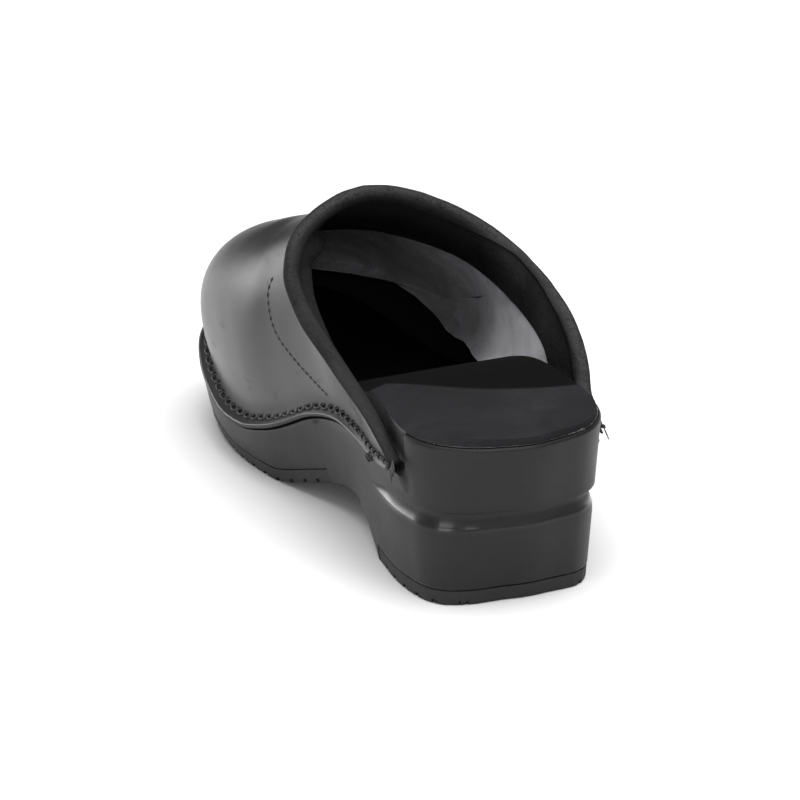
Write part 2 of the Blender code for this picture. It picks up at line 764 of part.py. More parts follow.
def build_collar(collection):
    """Padded bead on the upper's top edge, with a band down the inside of its wall."""
    columns = face_columns(first=0)
    ways = [way * BEAD_THICKNESS for way in BEAD["way"]]
    ends = len(columns) - 1
    loops = []
    fine = np.array([[along_column(line, way) for line in columns]
                     for way in (0.0, *collar_ways())])
    normals = grid_normals(fine)
    known_ways = (0.0, *collar_ways())
    outer_depth = UPPER_WALL + 1.9 * FIT_GAP
    for index, line in enumerate(columns):
        from_end = min(index, ends - index) / UPPER_COLUMNS
        pad = ease(*PAD_GROWS, from_end)
        reach = lerp(BAND_AT_END, 1.0, ease(*BAND_GROWS, from_end))

        def at(way, deep):
            normal = np.array([np.interp(way, known_ways, normals[:, index, axis])
                               for axis in range(3)])
            return along_column(line, way) - normal / np.linalg.norm(normal) * deep

        thin = outer_depth + COLLAR_END_WALL
        loop = []
        for way, deep in zip(ways, BEAD["deep"] * BEAD_THICKNESS):
            if deep > outer_depth:
                deep = lerp(thin, deep, pad)
            loop.append(at(way, deep))
        inner = outer_depth + lerp(COLLAR_END_WALL, COLLAR_BAND_WALL, pad)
        band = [share * COLLAR_BAND_WIDTH * reach for share in BAND_WAYS]
        band = [max(way, ways[-1] * 1.02 + 0.0006 * step) for step, way in enumerate(band)]
        loop += [at(way, inner) for way in band]
        loop += [at(way, outer_depth) for way in reversed(band)]
        loop += [at(ways[-1] * 0.75, outer_depth), at(ways[0] * 0.85, outer_depth)]
        loops.append(loop)
    return loft("collar", loops, collection)


def centre_on_floor(objects):
    """Move the meshes so that the origin is the middle of the box's bottom."""
    bpy.context.view_layer.update()
    depsgraph = bpy.context.evaluated_depsgraph_get()
    points = []
    for obj in objects:
        evaluated = obj.evaluated_get(depsgraph)
        points += [vertex.co.copy() for vertex in evaluated.data.vertices]
    points = np.array(points)
    low, high = points.min(axis=0), points.max(axis=0)
    shift = np.array([-(low[0] + high[0]) / 2, -(low[1] + high[1]) / 2, -low[2]])
    for obj in objects:
        for vertex in obj.data.vertices:
            vertex.co = vertex.co + type(vertex.co)(shift)


def main():
    clear_scene()
    shoe = bpy.data.collections.new("work_clog")
    bpy.context.scene.collection.children.link(shoe)
    last = float(len(OUTLINE["along"]) - 1)
    pieces = [
        build_sole(shoe),
        build_tread("tread_heel", 0.0, HEEL_TREAD_END, 0.0, shoe),
        build_tread("tread_forefoot", FORE_TREAD_START, SHOE_LENGTH, last, shoe),
        build_insole(shoe),
        build_upper(shoe),
        build_collar(shoe),
    ]
    centre_on_floor(pieces)


if __name__ == "__main__":
    main()
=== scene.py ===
"""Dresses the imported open-back work clog.

Fine skins stand for the CAD solids of the upper, collar, sole and insole, and carry their
seams, stitching, lining and finishes. Most shape functions and tables are those of the
part's source, in the shoe's own frame: metres, +Y to the toe from 0 at the heel, +Z up.
"""

import functools
import math

import bmesh
import bpy
import numpy as np
from bpy.props import FloatProperty, FloatVectorProperty, PointerProperty
from mathutils import Matrix, Vector, noise


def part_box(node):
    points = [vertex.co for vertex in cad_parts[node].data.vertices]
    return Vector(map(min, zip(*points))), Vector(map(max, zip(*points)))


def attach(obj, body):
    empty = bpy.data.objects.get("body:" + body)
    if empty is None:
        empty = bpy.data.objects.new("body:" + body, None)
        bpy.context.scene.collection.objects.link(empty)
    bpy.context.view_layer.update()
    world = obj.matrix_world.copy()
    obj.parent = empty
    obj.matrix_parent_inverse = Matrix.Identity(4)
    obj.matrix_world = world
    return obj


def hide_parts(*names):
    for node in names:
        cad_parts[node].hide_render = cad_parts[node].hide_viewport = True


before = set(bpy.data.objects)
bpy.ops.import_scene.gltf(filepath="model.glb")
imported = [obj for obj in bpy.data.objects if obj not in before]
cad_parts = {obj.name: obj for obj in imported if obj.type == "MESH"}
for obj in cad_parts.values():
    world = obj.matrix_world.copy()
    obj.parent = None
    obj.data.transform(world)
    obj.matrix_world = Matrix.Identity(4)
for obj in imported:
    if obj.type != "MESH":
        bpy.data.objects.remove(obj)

bl_info = {
    "name": "Work clog dressing",
    "version": (1, 0, 0),
    "blender": (4, 5, 0),
    "location": "View3D > Sidebar > Clog",
    "description": "Leather, stitching, lining and moulded sole for the packed work clog",
    "category": "Object",
}

# Driving dimensions, as in the part's source
SHOE_LENGTH = 0.255
BALL_WIDTH = 0.0902
HEEL_WIDTH = 0.0730
HEEL_HEIGHT = 0.0570
INSTEP_HEIGHT = 0.1106

# Sole unit
SOLE_TUCK = 0.0062
HEEL_CUP = 0.0016
EDGE_ROUND = 0.0008
GROOVE_DEPTH = 0.0022
GROOVE_REACH = 0.0625
LEDGE_START = 0.0304
LEDGE_RUN = 0.0030

# Treads
TREAD_THICKNESS = 0.0050
HEEL_TREAD_END = 0.0630
FORE_TREAD_START = 0.1120

# Upper, collar and insole
UPPER_WALL = 0.0020
BEAD_THICKNESS = 0.0056
COLLAR_BAND_WALL = 0.0014
COLLAR_END_WALL = 0.0006
INSOLE_WALL = 0.0026
INSOLE_SETBACK = 0.0008
FIT_GAP = 0.0003


def table(names, *rows):
    """A table of sections: one named column for each word of names."""
    columns = zip(*rows)
    return {name: np.array(values) for name, values in zip(names.split(), columns)}


# Plan outline of the sole's top edge from heel to toe. Along is a share of SHOE_LENGTH.
# Medial and lateral are shares of the local width, which goes from HEEL_WIDTH where ball
# is 0 to BALL_WIDTH where ball is 1. The tucks are shares of SOLE_TUCK.
OUTLINE = table(
    "along medial lateral ball tuck_medial tuck_lateral",
    (0.0000, -0.027, -0.027, 0.00, 1.75, 1.75),
    (0.0080, -0.178, 0.130, 0.00, 1.65, 1.55),
    (0.0235, -0.315, 0.272, 0.00, 1.20, 1.15),
    (0.0550, -0.438, 0.380, 0.00, 0.58, 0.95),
    (0.0863, -0.492, 0.432, 0.00, 0.45, 1.10),
    (0.1216, -0.514, 0.462, 0.00, 0.45, 1.15),
    (0.2745, -0.484, 0.500, 0.15, 0.70, 1.05),
    (0.3922, -0.428, 0.502, 0.50, 0.90, 1.00),
    (0.5098, -0.441, 0.511, 0.85, 1.00, 1.00),
    (0.6275, -0.479, 0.521, 1.00, 0.95, 1.00),
    (0.7451, -0.475, 0.483, 1.00, 0.70, 1.00),
    (0.8431, -0.424, 0.420, 1.00, 0.58, 1.00),
    (0.9176, -0.335, 0.342, 1.00, 0.58, 0.90),
    (0.9647, -0.232, 0.233, 1.00, 0.70, 0.85),
    (0.9906, -0.134, 0.114, 1.00, 0.80, 0.85),
    (1.0000, -0.010, -0.010, 1.00, 0.85, 0.85),
)
LAST_ROW = len(OUTLINE["along"]) - 1

# Side profile. Along is a share of SHOE_LENGTH, the heights are shares of HEEL_HEIGHT:
# the underside, the edge of the upper's flange, and the foot bed.
PROFILE = table(
    "along floor seam bed",
    (0.000, 0.000, 0.770, 1.000),
    (0.122, 0.000, 0.770, 1.005),
    (0.165, 0.000, 0.755, 1.005),
    (0.243, 0.000, 0.728, 1.005),
    (0.266, 0.064, 0.731, 1.000),
    (0.290, 0.146, 0.733, 0.982),
    (0.314, 0.209, 0.733, 0.958),
    (0.337, 0.240, 0.730, 0.930),
    (0.361, 0.250, 0.725, 0.895),
    (0.384, 0.242, 0.712, 0.860),
    (0.424, 0.210, 0.675, 0.790),
    (0.463, 0.157, 0.619, 0.719),
    (0.510, 0.090, 0.519, 0.637),
    (0.557, 0.024, 0.426, 0.544),
    (0.588, 0.000, 0.381, 0.491),
    (0.647, 0.000, 0.319, 0.439),
    (0.706, 0.010, 0.305, 0.440),
    (0.784, 0.046, 0.365, 0.478),
    (0.882, 0.116, 0.474, 0.562),
    (1.000, 0.246, 0.561, 0.632),
)

# Levels of the sole's side wall, from the bottom edge to the ledge. Heel is the height on
# the heel block as a share of HEEL_HEIGHT, fore the share of the forefoot wall, recess the
# share of GROOVE_DEPTH, inset how far the edge is rounded in, in shares of EDGE_ROUND, and
# soft the radius of the moulded corner there in metres.
LEVELS = table(
    "heel fore recess inset soft",
    (0.094, 0.00, 0.00, 0.30, 0.0003),
    (0.108, 0.05, 0.00, 0.00, 0.0004),
    (0.260, 0.28, 0.00, 0.00, 0.0010),
    (0.410, 0.46, 0.00, 0.00, 0.0010),
    (0.470, 0.55, 0.10, 0.00, 0.0012),
    (0.500, 0.63, 0.50, 0.00, 0.0009),
    (0.545, 0.71, 1.00, 0.00, 0.0009),
    (0.576, 0.79, 0.92, 0.00, 0.0003),
    (0.588, 0.86, 0.00, 0.00, 0.0005),
    (0.635, 0.93, 0.00, 0.00, 0.0006),
)
GROOVE_TIP_HEIGHT = 0.505
GROOVE_ROWS = (4, 9)

# Sections of the upper, one for each outline row from the collar's end to the toe tip.
# Spine is the top of the section: along as a share of SHOE_LENGTH, height as a share of
# INSTEP_HEIGHT, side as a share of BALL_WIDTH. Power is the superellipse exponent, swell
# the bulge of the wall as a share of BALL_WIDTH, slope the part of the rise that is
# straight, plan how far the section stands upright, topline how much of the topline's own
# shape it keeps, foot the wall's distance inside the sole's edge as a share of BALL_WIDTH,
# and droop the flange's fall to its edge as a share of HEEL_HEIGHT.
VAMP = table(
    "spine_along spine_height spine_side power swell slope plan topline "
    "foot_medial foot_lateral flange droop",
    (0.508, 0.992, -0.078, 2.30, 0.000, 0.00, 0.0, 1.00, -0.027, -0.027, 0.012, 0.050),
    (0.544, 0.945, -0.084, 2.30, 0.018, 0.00, 0.0, 0.62, 0.022, 0.018, 0.026, 0.046),
    (0.580, 0.898, -0.100, 2.35, 0.036, 0.00, 0.0, 0.34, 0.034, 0.034, 0.038, 0.044),
    (0.620, 0.852, -0.111, 2.40, 0.050, 0.00, 0.0, 0.14, 0.042, 0.042, 0.046, 0.046),
    (0.661, 0.812, -0.122, 2.22, 0.068, 0.00, 0.3, 0.03, 0.046, 0.046, 0.050, 0.046),
    (0.702, 0.776, -0.133, 2.10, 0.070, 0.00, 0.8, 0.00, 0.046, 0.046, 0.050, 0.046),
    (0.737, 0.744, -0.133, 2.02, 0.066, 0.08, 1.0, 0.00, 0.046, 0.046, 0.050, 0.046),
    (0.765, 0.720, -0.127, 2.00, 0.058, 0.18, 1.0, 0.00, 0.046, 0.046, 0.050, 0.046),
    (0.784, 0.703, -0.122, 2.00, 0.052, 0.28, 1.0, 0.00, 0.046, 0.046, 0.050, 0.046),
    (0.798, 0.690, -0.111, 2.00, 0.048, 0.36, 1.0, 0.00, 0.046, 0.046, 0.050, 0.046),
    (0.804, 0.685, -0.105, 2.00, 0.046, 0.40, 1.0, 0.00, 0.046, 0.046, 0.050, 0.046),
)
FIRST_SECTION = 5
SWELL_PLACE = 0.70
SWELL_START = 1.5

# The topline on each side, from the flange to the top of the instep. Way is the share of
# its length; out, fore and up are shares of the first section's half width, run and rise.
TOPLINE_MEDIAL = table(
    "way out fore up",
    (0.000, 1.000, 0.000, 0.000),
    (0.120, 0.994, 0.193, 0.130),
    (0.320, 1.021, 0.487, 0.284),
    (0.520, 1.112, 0.731, 0.481),
    (0.610, 1.116, 0.823, 0.597),
    (0.700, 1.020, 0.893, 0.745),
    (0.775, 0.855, 0.940, 0.840),
    (0.865, 0.550, 0.978, 0.930),
    (0.945, 0.215, 0.996, 0.988),
    (1.000, 0.000, 1.000, 1.000),
)
TOPLINE_LATERAL = table(
    "way out fore up",
    (0.000, 1.000, 0.000, 0.000),
    (0.100, 1.118, 0.213, 0.092),
    (0.165, 1.176, 0.289, 0.203),
    (0.240, 1.223, 0.386, 0.295),
    (0.330, 1.253, 0.512, 0.389),
    (0.420, 1.258, 0.650, 0.464),
    (0.520, 1.225, 0.797, 0.543),
    (0.625, 1.110, 0.918, 0.641),
    (0.710, 0.925, 0.980, 0.742),
    (0.790, 0.695, 1.008, 0.838),
    (0.880, 0.400, 1.012, 0.934),
    (0.950, 0.170, 1.006, 0.983),
    (1.000, 0.000, 1.000, 1.000),
)

# Cross-section of the padded rim: way is the distance from the topline along the upper,
# deep the distance in from its outer face, both in shares of BEAD_THICKNESS.
BEAD = table(
    "way deep",
    (0.48, -0.13),
    (0.25, -0.16),
    (0.03, -0.04),
    (-0.08, 0.20),
    (-0.03, 0.48),
    (0.20, 0.72),
    (0.56, 0.83),
    (1.05, 0.78),
)

# The skin stands this far from the ends of the treads
TREAD_CLEAR = 0.0001

# The wall's inner corner at its foot lies this many wall thicknesses inside it
CORNER_SPREAD = 1.3

# Where forms change, from and to, as shares of SHOE_LENGTH
CUP_START = (0.008, 0.060)
CUP_END = (0.200, 0.340)
HEEL_BLOCK_END = (0.25, 0.34)
WALL_LOWERS = (0.20, 0.36)
COLLAR_CLEARED = (0.36, 0.44)
GROOVE_FADES = 0.80
GROOVE_CLOSES = 0.62
GROOVE_CLOSING = 0.75
PLAIN_STEPS = (0.20, 0.45)
PAD_GROWS = (-0.06, 0.12)

MEDIAL = "medial"
LATERAL = "lateral"

# Fineness of the skins
WALL_COLUMNS = 64
FLANGE_COLUMNS = 6
UPPER_ROWS = 110
SOLE_STEP = 0.10
BED_COLUMNS = 36
UNDER_COLUMNS = 8
CORNER_POINTS = 4
LINE_POINTS = 121
COLLAR_SAMPLES = 22
LINING_SAMPLES = 110
STITCH_SAMPLES = 400
SEAM_SAMPLES = 160
CEMENT_SAMPLES = 120
LOOP_POINTS = 22
STRAND_STEPS = 6

# Depth in the wall at which the collar lies, and how deep its leather is gathered
COLLAR_SEAT = UPPER_WALL + 1.5 * FIT_GAP
GATHER_DEPTH = 0.00016

# Section of the band: shares of its width, and its thickness at each
BAND_SHARES = (0.0, 0.06, 0.14, 0.24, 0.36, 0.5, 0.65, 0.8, 0.92, 0.98, 1.0)
BAND_PUFFS = (1.0, 1.05, 1.1, 1.1, 1.1, 1.1, 1.08, 1.06, 1.0, 0.92, 0.6)

# The turn between wall and flange: columns eased on each side, times over, and the reach
# of its fold in columns
TURN_REACH = 3
TURN_PASSES = 3
FOLD_REACH = 3.0

# Rolled lip of the insole, and the edges that stay sharp in the moulded and cut pieces
LIP_RADIUS = 0.0009
LIP_STEPS = 4
SHARP_FROM = math.radians(50)

# Depth of the lining behind the upper's wall
LINING_SEAT = UPPER_WALL + 0.00025

# Band inside the rim: place is the share of the topline's lines from the medial end to the
# lateral one, width how far it reaches down the wall, loose how far its free edge stands
# off the wall, both in metres.
BAND = table(
    "place width loose",
    (0.00, 0.0050, 0.0000),
    (0.06, 0.0090, 0.0000),
    (0.16, 0.0180, 0.0002),
    (0.30, 0.0190, 0.0012),
    (0.345, 0.0200, 0.0050),
    (0.375, 0.0210, 0.0046),
    (0.392, 0.0360, 0.0016),
    (0.44, 0.0560, 0.0024),
    (0.56, 0.0600, 0.0030),
    (0.64, 0.0510, 0.0014),
    (0.72, 0.0510, 0.0004),
    (0.79, 0.0530, 0.0002),
    (0.85, 0.0465, 0.0002),
    (0.88, 0.0365, 0.0002),
    (0.91, 0.0285, 0.0002),
    (0.94, 0.0250, 0.0002),
    (0.98, 0.0250, 0.0002),
    (1.00, 0.0200, 0.0000),
)

# Where along the topline the rim's crest gets its wear
RUBBED_FROM = (0.30, 0.45)

# Where the groove's shoulder is glossy and its upper crease painted dark as the shadow under the
# lip: level, and reach in levels
SHOULDER_LEVEL = (4.7, 0.9)
CREASE_SHADOW_LEVEL = (8.0, 0.75)

# Edge of the painted shade on the sock, beyond which the sock is painted near black for the shadow
# deep in the shoe: its distance from the heel as a curve over the side, x
SOCK_SHADE_EDGE = (0.0550, -0.62, 3.5)

# Lower edge of the vamp lining: place as for the band, reach how far it goes along each
# line as a share of the line, and loose how far the torn edge curls off the wall, in metres.
LINING = table(
    "place reach loose",
    (0.020, 0.420, 0.0000),
    (0.060, 0.480, 0.0000),
    (0.120, 0.620, 0.0000),
    (0.160, 0.730, 0.0000),
    (0.200, 0.840, 0.0000),
    (0.230, 0.995, 0.0000),
    (0.500, 0.995, 0.0000),
    (0.866, 0.995, 0.0000),
    (0.873, 0.720, 0.0004),
    (0.883, 0.680, 0.0008),
    (0.891, 0.628, 0.0012),
    (0.906, 0.582, 0.0018),
    (0.930, 0.539, 0.0026),
    (0.945, 0.478, 0.0034),
    (0.984, 0.389, 0.0050),
    (1.000, 0.308, 0.0060),
)
LINING_TOP = 0.008
LINING_STEPS = 48
LINING_RAGGED = 0.0030
RAGGED_FROM = (0.80, 0.86)

# Where the chain lies between the flange's edge and the wall's foot, how far it lifts, how
# much its loops turn and vary in size, and the distance that gives its direction
CHAIN_PLACE = 0.80
CHAIN_LIFT = 0.0004
LOOP_TURN = 0.22
LOOP_GROWTH = 0.16
LOOK_AHEAD = 0.0006

# Seam across each side of the vamp, from its top to where it fades out above the flange:
# place is the share of the topline's lines from the nearer end, reach the distance from
# the topline along the upper, in metres.
SEAM = table(
    "step place reach",
    (0.0, 0.242, 0.054),
    (1.0, 0.211, 0.061),
    (2.0, 0.180, 0.066),
    (3.0, 0.148, 0.071),
    (4.0, 0.117, 0.075),
    (5.0, 0.094, 0.077),
    (6.0, 0.062, 0.078),
    (7.0, 0.039, 0.077),
    (8.0, 0.023, 0.075),
    (9.0, 0.012, 0.072),
)
SEAM_PITCH = 0.0028
SEAM_STITCH = 0.0021
SEAM_THREAD = 0.00026

# Loose strands of the flange's thread, and the loose knot's distance from the heel
FIBRE_COUNTS = ((MEDIAL, 16), (LATERAL, 4))
KNOT_STRANDS = 7
FIBRE_LENGTH = 0.0034
FIBRE_RADIUS = 0.00026
LOOSE_KNOT = 0.052

# Bead of cement under the insole's edge
CEMENT_RADIUS = 0.00055
CEMENT_LAST_ROW = 4.2

# Stage: half the floor's side, the dark card's half width, height and distance, the floor's
# drop below the shoe, the air's strength, and for each light its name, place, aim, size
# and power
FLOOR_HALF = 6.0
FLAG = (0.40, 1.0, 1.20)
FLOOR_DROP = -0.0002
AIR_STRENGTH = 0.22
STUDIO_LIGHTS = (
    ("overhead_panel", (0.15, -0.15, 1.6), (0.0, 0.0, 0.0), (1.9, 2.0), 50.0),
    ("left_panel", (-1.5, -0.9, 0.35), (0.0, 0.0, 0.05), (1.0, 0.6), 7.0),
    ("low_panel", (-0.95, 1.45, 0.30), (0.0, 0.0, 0.05), (0.9, 0.5), 6.0),
    ("back_left_panel", (-0.60, -1.85, 0.95), (0.0, 0.0, 0.05), (0.5, 0.5), 3.5),
    ("back_right_panel", (0.55, -1.90, 0.95), (0.0, 0.0, 0.05), (0.7, 0.5), 4.0),
)

# The camera, solved from the photograph: turned about the shoe, raised, rolled, and its
# distance and lens, aimed at a point of the shoe in its own frame
CAMERA_YAW = math.radians(22.3)
CAMERA_PITCH = math.radians(19.9)
CAMERA_ROLL = math.radians(-1.59)
CAMERA_DISTANCE = 2.016
CAMERA_LENS = 261.9
CAMERA_AIM = (-0.0003, 0.120, 0.0339)


def lerp(a, b, share):
    return a + (b - a) * share


def ease(low, high, value):
    """Smooth step from 0 at low to 1 at high."""
    share = min(max((value - low) / (high - low), 0.0), 1.0)
    return share * share * (3.0 - 2.0 * share)


def bell(value, centre, reach):
    """1 at centre and 0 beyond reach on either side."""
    return max(1.0 - abs(value - centre) / reach, 0.0)


def hermite(y0, y1, m0, m1, share):
    s2 = share * share
    s3 = s2 * share
    return ((2 * s3 - 3 * s2 + 1) * y0 + (s3 - 2 * s2 + share) * m0
            + (3 * s2 - 2 * s3) * y1 + (s3 - s2) * m1)


def row_places():
    """Length of the outline up to each row, which keeps its curves from swinging."""
    half = (OUTLINE["lateral"] - OUTLINE["medial"]) / 2
    half = half * lerp(HEEL_WIDTH, BALL_WIDTH, OUTLINE["ball"])
    steps = np.hypot(np.diff(OUTLINE["along"]) * SHOE_LENGTH, np.diff(half))
    return np.concatenate([[0.0], np.cumsum(steps)])


ROW_PLACES = row_places()


def by_row(values, row, first=0, level_ends=False):
    """Value of a column at a fractional row, on a smooth curve through every row."""
    places = ROW_PLACES[first:first + len(values)]
    last = len(values) - 1
    index = min(max(int(math.floor(row)), 0), last - 1)

    def rise(at):
        return (values[at + 1] - values[at]) / (places[at + 1] - places[at])

    def slope(at):
        if at in (0, last):
            return 0.0 if level_ends else rise(min(at, last - 1))
        before = places[at] - places[at - 1]
        after = places[at + 1] - places[at]
        return (after * rise(at - 1) + before * rise(at)) / (before + after)

    step = places[index + 1] - places[index]
    return hermite(values[index], values[index + 1],
                   slope(index) * step, slope(index + 1) * step, row - index)


def by_step(values, step):
    """Value of a column at a fractional step, on a smooth curve through even steps."""
    last = len(values) - 1
    index = min(max(int(math.floor(step)), 0), last - 1)
    before = values[max(index - 1, 0)]
    after = values[min(index + 2, last)]
    start, end = values[index], values[index + 1]
    m0 = (end - before) / (2 if index > 0 else 1)
    m1 = (after - start) / (2 if index < last - 1 else 1)
    return hermite(start, end, m0, m1, step - index)


def by_key(keys, values, key):
    """Value of a column at a key, on a curve that never overshoots its rows."""
    key = min(max(key, keys[0]), keys[-1])
    index = min(int(np.searchsorted(keys, key, side="right")) - 1, len(keys) - 2)
    steps = np.diff(keys)
    rises = np.diff(values) / steps

    def slope(row):
        if row == 0:
            return rises[0]
        if row == len(keys) - 1:
            return rises[-1]
        left, right = rises[row - 1], rises[row]
        if left * right <= 0:
            return 0.0
        return 2.0 * left * right / (left + right)

    width = steps[index]
    share = (key - keys[index]) / width
    return hermite(values[index], values[index + 1],
                   slope(index) * width, slope(index + 1) * width, share)


def profile(name, along):
    """Height of the named line of the side profile at a distance from the heel."""
    return by_key(PROFILE["along"], PROFILE[name], along / SHOE_LENGTH) * HEEL_HEIGHT


def along_of(row):
    return by_row(OUTLINE["along"], row, level_ends=True) * SHOE_LENGTH


def outline_point(side, row):
    """Point of the sole's top edge, in plan."""
    width = lerp(HEEL_WIDTH, BALL_WIDTH, by_row(OUTLINE["ball"], row))
    return np.array([by_row(OUTLINE[side], row) * width, along_of(row)])


def outward(side, row):
    """Unit vector out of the outline, in plan."""
    if row <= 0.0:
        return np.array([0.0, -1.0])
    if row >= LAST_ROW:
        return np.array([0.0, 1.0])
    step = min(0.15, row, LAST_ROW - row)
    run = outline_point(side, row + step) - outline_point(side, row - step)
    run /= np.linalg.norm(run)
    turn = -1.0 if side == MEDIAL else 1.0
    return np.array([run[1], -run[0]]) * turn


def inset_point(side, row, inset):
    return outline_point(side, row) - outward(side, row) * inset


def row_at(along):
    """Outline row at a distance from the heel."""
    low, high = 0.0, float(LAST_ROW)
    for _ in range(50):
        middle = (low + high) / 2
        if along_of(middle) < along:
            low = middle
        else:
            high = middle
    return (low + high) / 2


def tuck(side, row, height):
    """How far the sole's wall lies inside its top edge at a height."""
    along = along_of(row)
    at_floor = by_row(OUTLINE["tuck_" + side], row) * SOLE_TUCK
    top = lerp(HEEL_HEIGHT, profile("seam", along), ease(*WALL_LOWERS, along / SHOE_LENGTH))
    bottom = profile("floor", along)
    return at_floor * min(max((top - height) / (top - bottom), 0.0), 1.0)


def vamp_value(name, row):
    return by_row(VAMP[name], row - FIRST_SECTION, first=FIRST_SECTION)


def foot_inset(side, row):
    return vamp_value("foot_" + side, max(row, FIRST_SECTION)) * BALL_WIDTH


def edge_inset(side, row):
    return foot_inset(side, row) - vamp_value("flange", max(row, FIRST_SECTION)) * BALL_WIDTH


def flange_edge(side, row):
    """Outer edge of the upper's flange, top face."""
    edge = inset_point(side, row, edge_inset(side, row))
    return np.array([*edge, profile("seam", along_of(row))])


def wall_foot(side, row):
    """Where the upper's wall turns out into its flange."""
    foot = inset_point(side, row, foot_inset(side, row))
    rise = vamp_value("droop", row) * HEEL_HEIGHT
    return np.array([*foot, profile("seam", along_of(row)) + rise])


def spine_point(row):
    return np.array([
        vamp_value("spine_side", row) * BALL_WIDTH,
        vamp_value("spine_along", row) * SHOE_LENGTH,
        vamp_value("spine_height", row) * INSTEP_HEIGHT,
    ])


def swell_shape(way):
    """Bulge of the wall, lowest third fullest: 0 at the foot and on the spine."""
    return max(math.sin(math.pi * way ** SWELL_PLACE), 0.0) ** SWELL_START


def upper_point(side, row, way):
    """Point of the upper's outer face: way is 0 at the wall's foot and 1 on the spine."""
    foot = wall_foot(side, row)
    spine = spine_point(row)
    angle = way * math.pi / 2
    power = 2.0 / vamp_value("power", row)
    out = max(math.cos(angle), 0.0) ** power
    up = math.sin(angle) ** power
    slope = vamp_value("slope", row)
    up = lerp(up, 1.0 - out, slope)
    fore = lerp(up, 1.0 - out, vamp_value("plan", row))

    topline = TOPLINE_MEDIAL if side == MEDIAL else TOPLINE_LATERAL
    keep = vamp_value("topline", row)
    out = lerp(out, by_key(topline["way"], topline["out"], way), keep)
    fore = lerp(fore, by_key(topline["way"], topline["fore"], way), keep)
    up = lerp(up, by_key(topline["way"], topline["up"], way), keep)

    swell = vamp_value("swell", row) * BALL_WIDTH * swell_shape(way)
    push = outward(side, row) * swell
    return np.array([
        lerp(spine[0], foot[0], out) + push[0],
        lerp(foot[1], spine[1], fore) + push[1],
        lerp(foot[2], spine[2], up),
    ])


@functools.cache
def face_line(side, way):
    """Line on the upper's face from the topline to the toe, with its arc lengths.

    Way is 0 at the wall's foot and 1 on the spine, and runs to -1 over the flange.
    """
    rows = np.linspace(FIRST_SECTION, LAST_ROW, LINE_POINTS)
    if way < 0.0:
        points = np.array([lerp(wall_foot(side, row), flange_edge(side, row), -way)
                           for row in rows])
    else:
        points = np.array([upper_point(side, row, way) for row in rows])
    return points, lengths_of(points)


def lengths_of(points):
    """Distance along a line of points, from 0 at its first."""
    steps = np.linalg.norm(np.diff(points, axis=0), axis=1)
    return np.concatenate([[0.0], np.cumsum(steps)])


def read_off(place, places, values):
    """Point or direction at a place, between those known at places."""
    return np.array([np.interp(place, places, values[:, axis]) for axis in range(3)])


def along_line(line, distance):
    points, lengths = line
    if distance < 0.0:
        start = points[0] - points[2]
        return points[0] + start / np.linalg.norm(start) * -distance
    return read_off(distance, lengths, points)


def wall_lines():
    """Lines of the wall, medial to lateral over the spine."""
    ways = [column / WALL_COLUMNS for column in range(WALL_COLUMNS + 1)]
    medial = [face_line(MEDIAL, way) for way in ways]
    lateral = [face_line(LATERAL, way) for way in ways[:-1]]
    return medial + lateral[::-1]


def flange_lines(side):
    """Lines of the flange from its edge in to the wall's foot."""
    return [face_line(side, step / FLANGE_COLUMNS - 1.0) for step in range(FLANGE_COLUMNS)]


def grid_normals(grid):
    """Unit normals of a grid of points, out of the shoe."""
    along = np.gradient(grid, axis=0)
    across = np.gradient(grid, axis=1)
    normals = np.cross(across, along)
    return normals / np.maximum(np.linalg.norm(normals, axis=2, keepdims=True), 1e-12)


def face_normals(lines, known):
    """Unit normals of the upper's face on each line, at the known distances."""
    return grid_normals(np.array([[along_line(line, way) for line in lines] for way in known]))


def softened(points, radii):
    """A line with each of its inner corners rounded to its own radius."""
    points = [np.asarray(point, float) for point in points]
    result = [points[0]]
    for before, corner, after, radius in zip(points, points[1:], points[2:], radii):
        into = before - corner
        out = after - corner
        reach_in = min(radius, 0.45 * np.linalg.norm(into))
        reach_out = min(radius, 0.45 * np.linalg.norm(out))
        start = corner + into / max(np.linalg.norm(into), 1e-9) * reach_in
        end = corner + out / max(np.linalg.norm(out), 1e-9) * reach_out
        for step in range(CORNER_POINTS):
            share = step / (CORNER_POINTS - 1)
            result.append(lerp(lerp(start, corner, share), lerp(corner, end, share), share))
    result.append(points[-1])
    return result


def across(medial, lateral, columns, height):
    """Points between two edge points; height gives z from the share across and the point."""
    points = []
    for column in range(1, columns + 1):
        share = column / (columns + 1)
        point = lerp(np.asarray(medial), np.asarray(lateral), share)
        points.append((point[0], point[1], height(share, point)))
    return points


def bed_height(share, point):
    """Foot bed: level at its edges, cupped in the heel."""
    along = point[1] / SHOE_LENGTH
    cup = HEEL_CUP * (1.0 - (2.0 * share - 1.0) ** 2)
    cup *= ease(*CUP_START, along) * (1.0 - ease(*CUP_END, along))
    return profile("bed", point[1]) - cup


def ledge_share(along):
    """0 on the heel's plain wall, 1 where the upper's flange has its ledge."""
    return ease(LEDGE_START - LEDGE_RUN, LEDGE_START, along)


def riser_inset(side, row):
    """Distance from the sole's edge in to the riser inside the upper's wall."""
    along = along_of(row)
    collar_end = COLLAR_END_WALL + 2.5 * FIT_GAP
    collar_end *= 1.0 - ease(*COLLAR_CLEARED, along / SHOE_LENGTH)
    inside = foot_inset(side, row) + CORNER_SPREAD * UPPER_WALL + 2 * FIT_GAP + collar_end
    return inside * ledge_share(along)


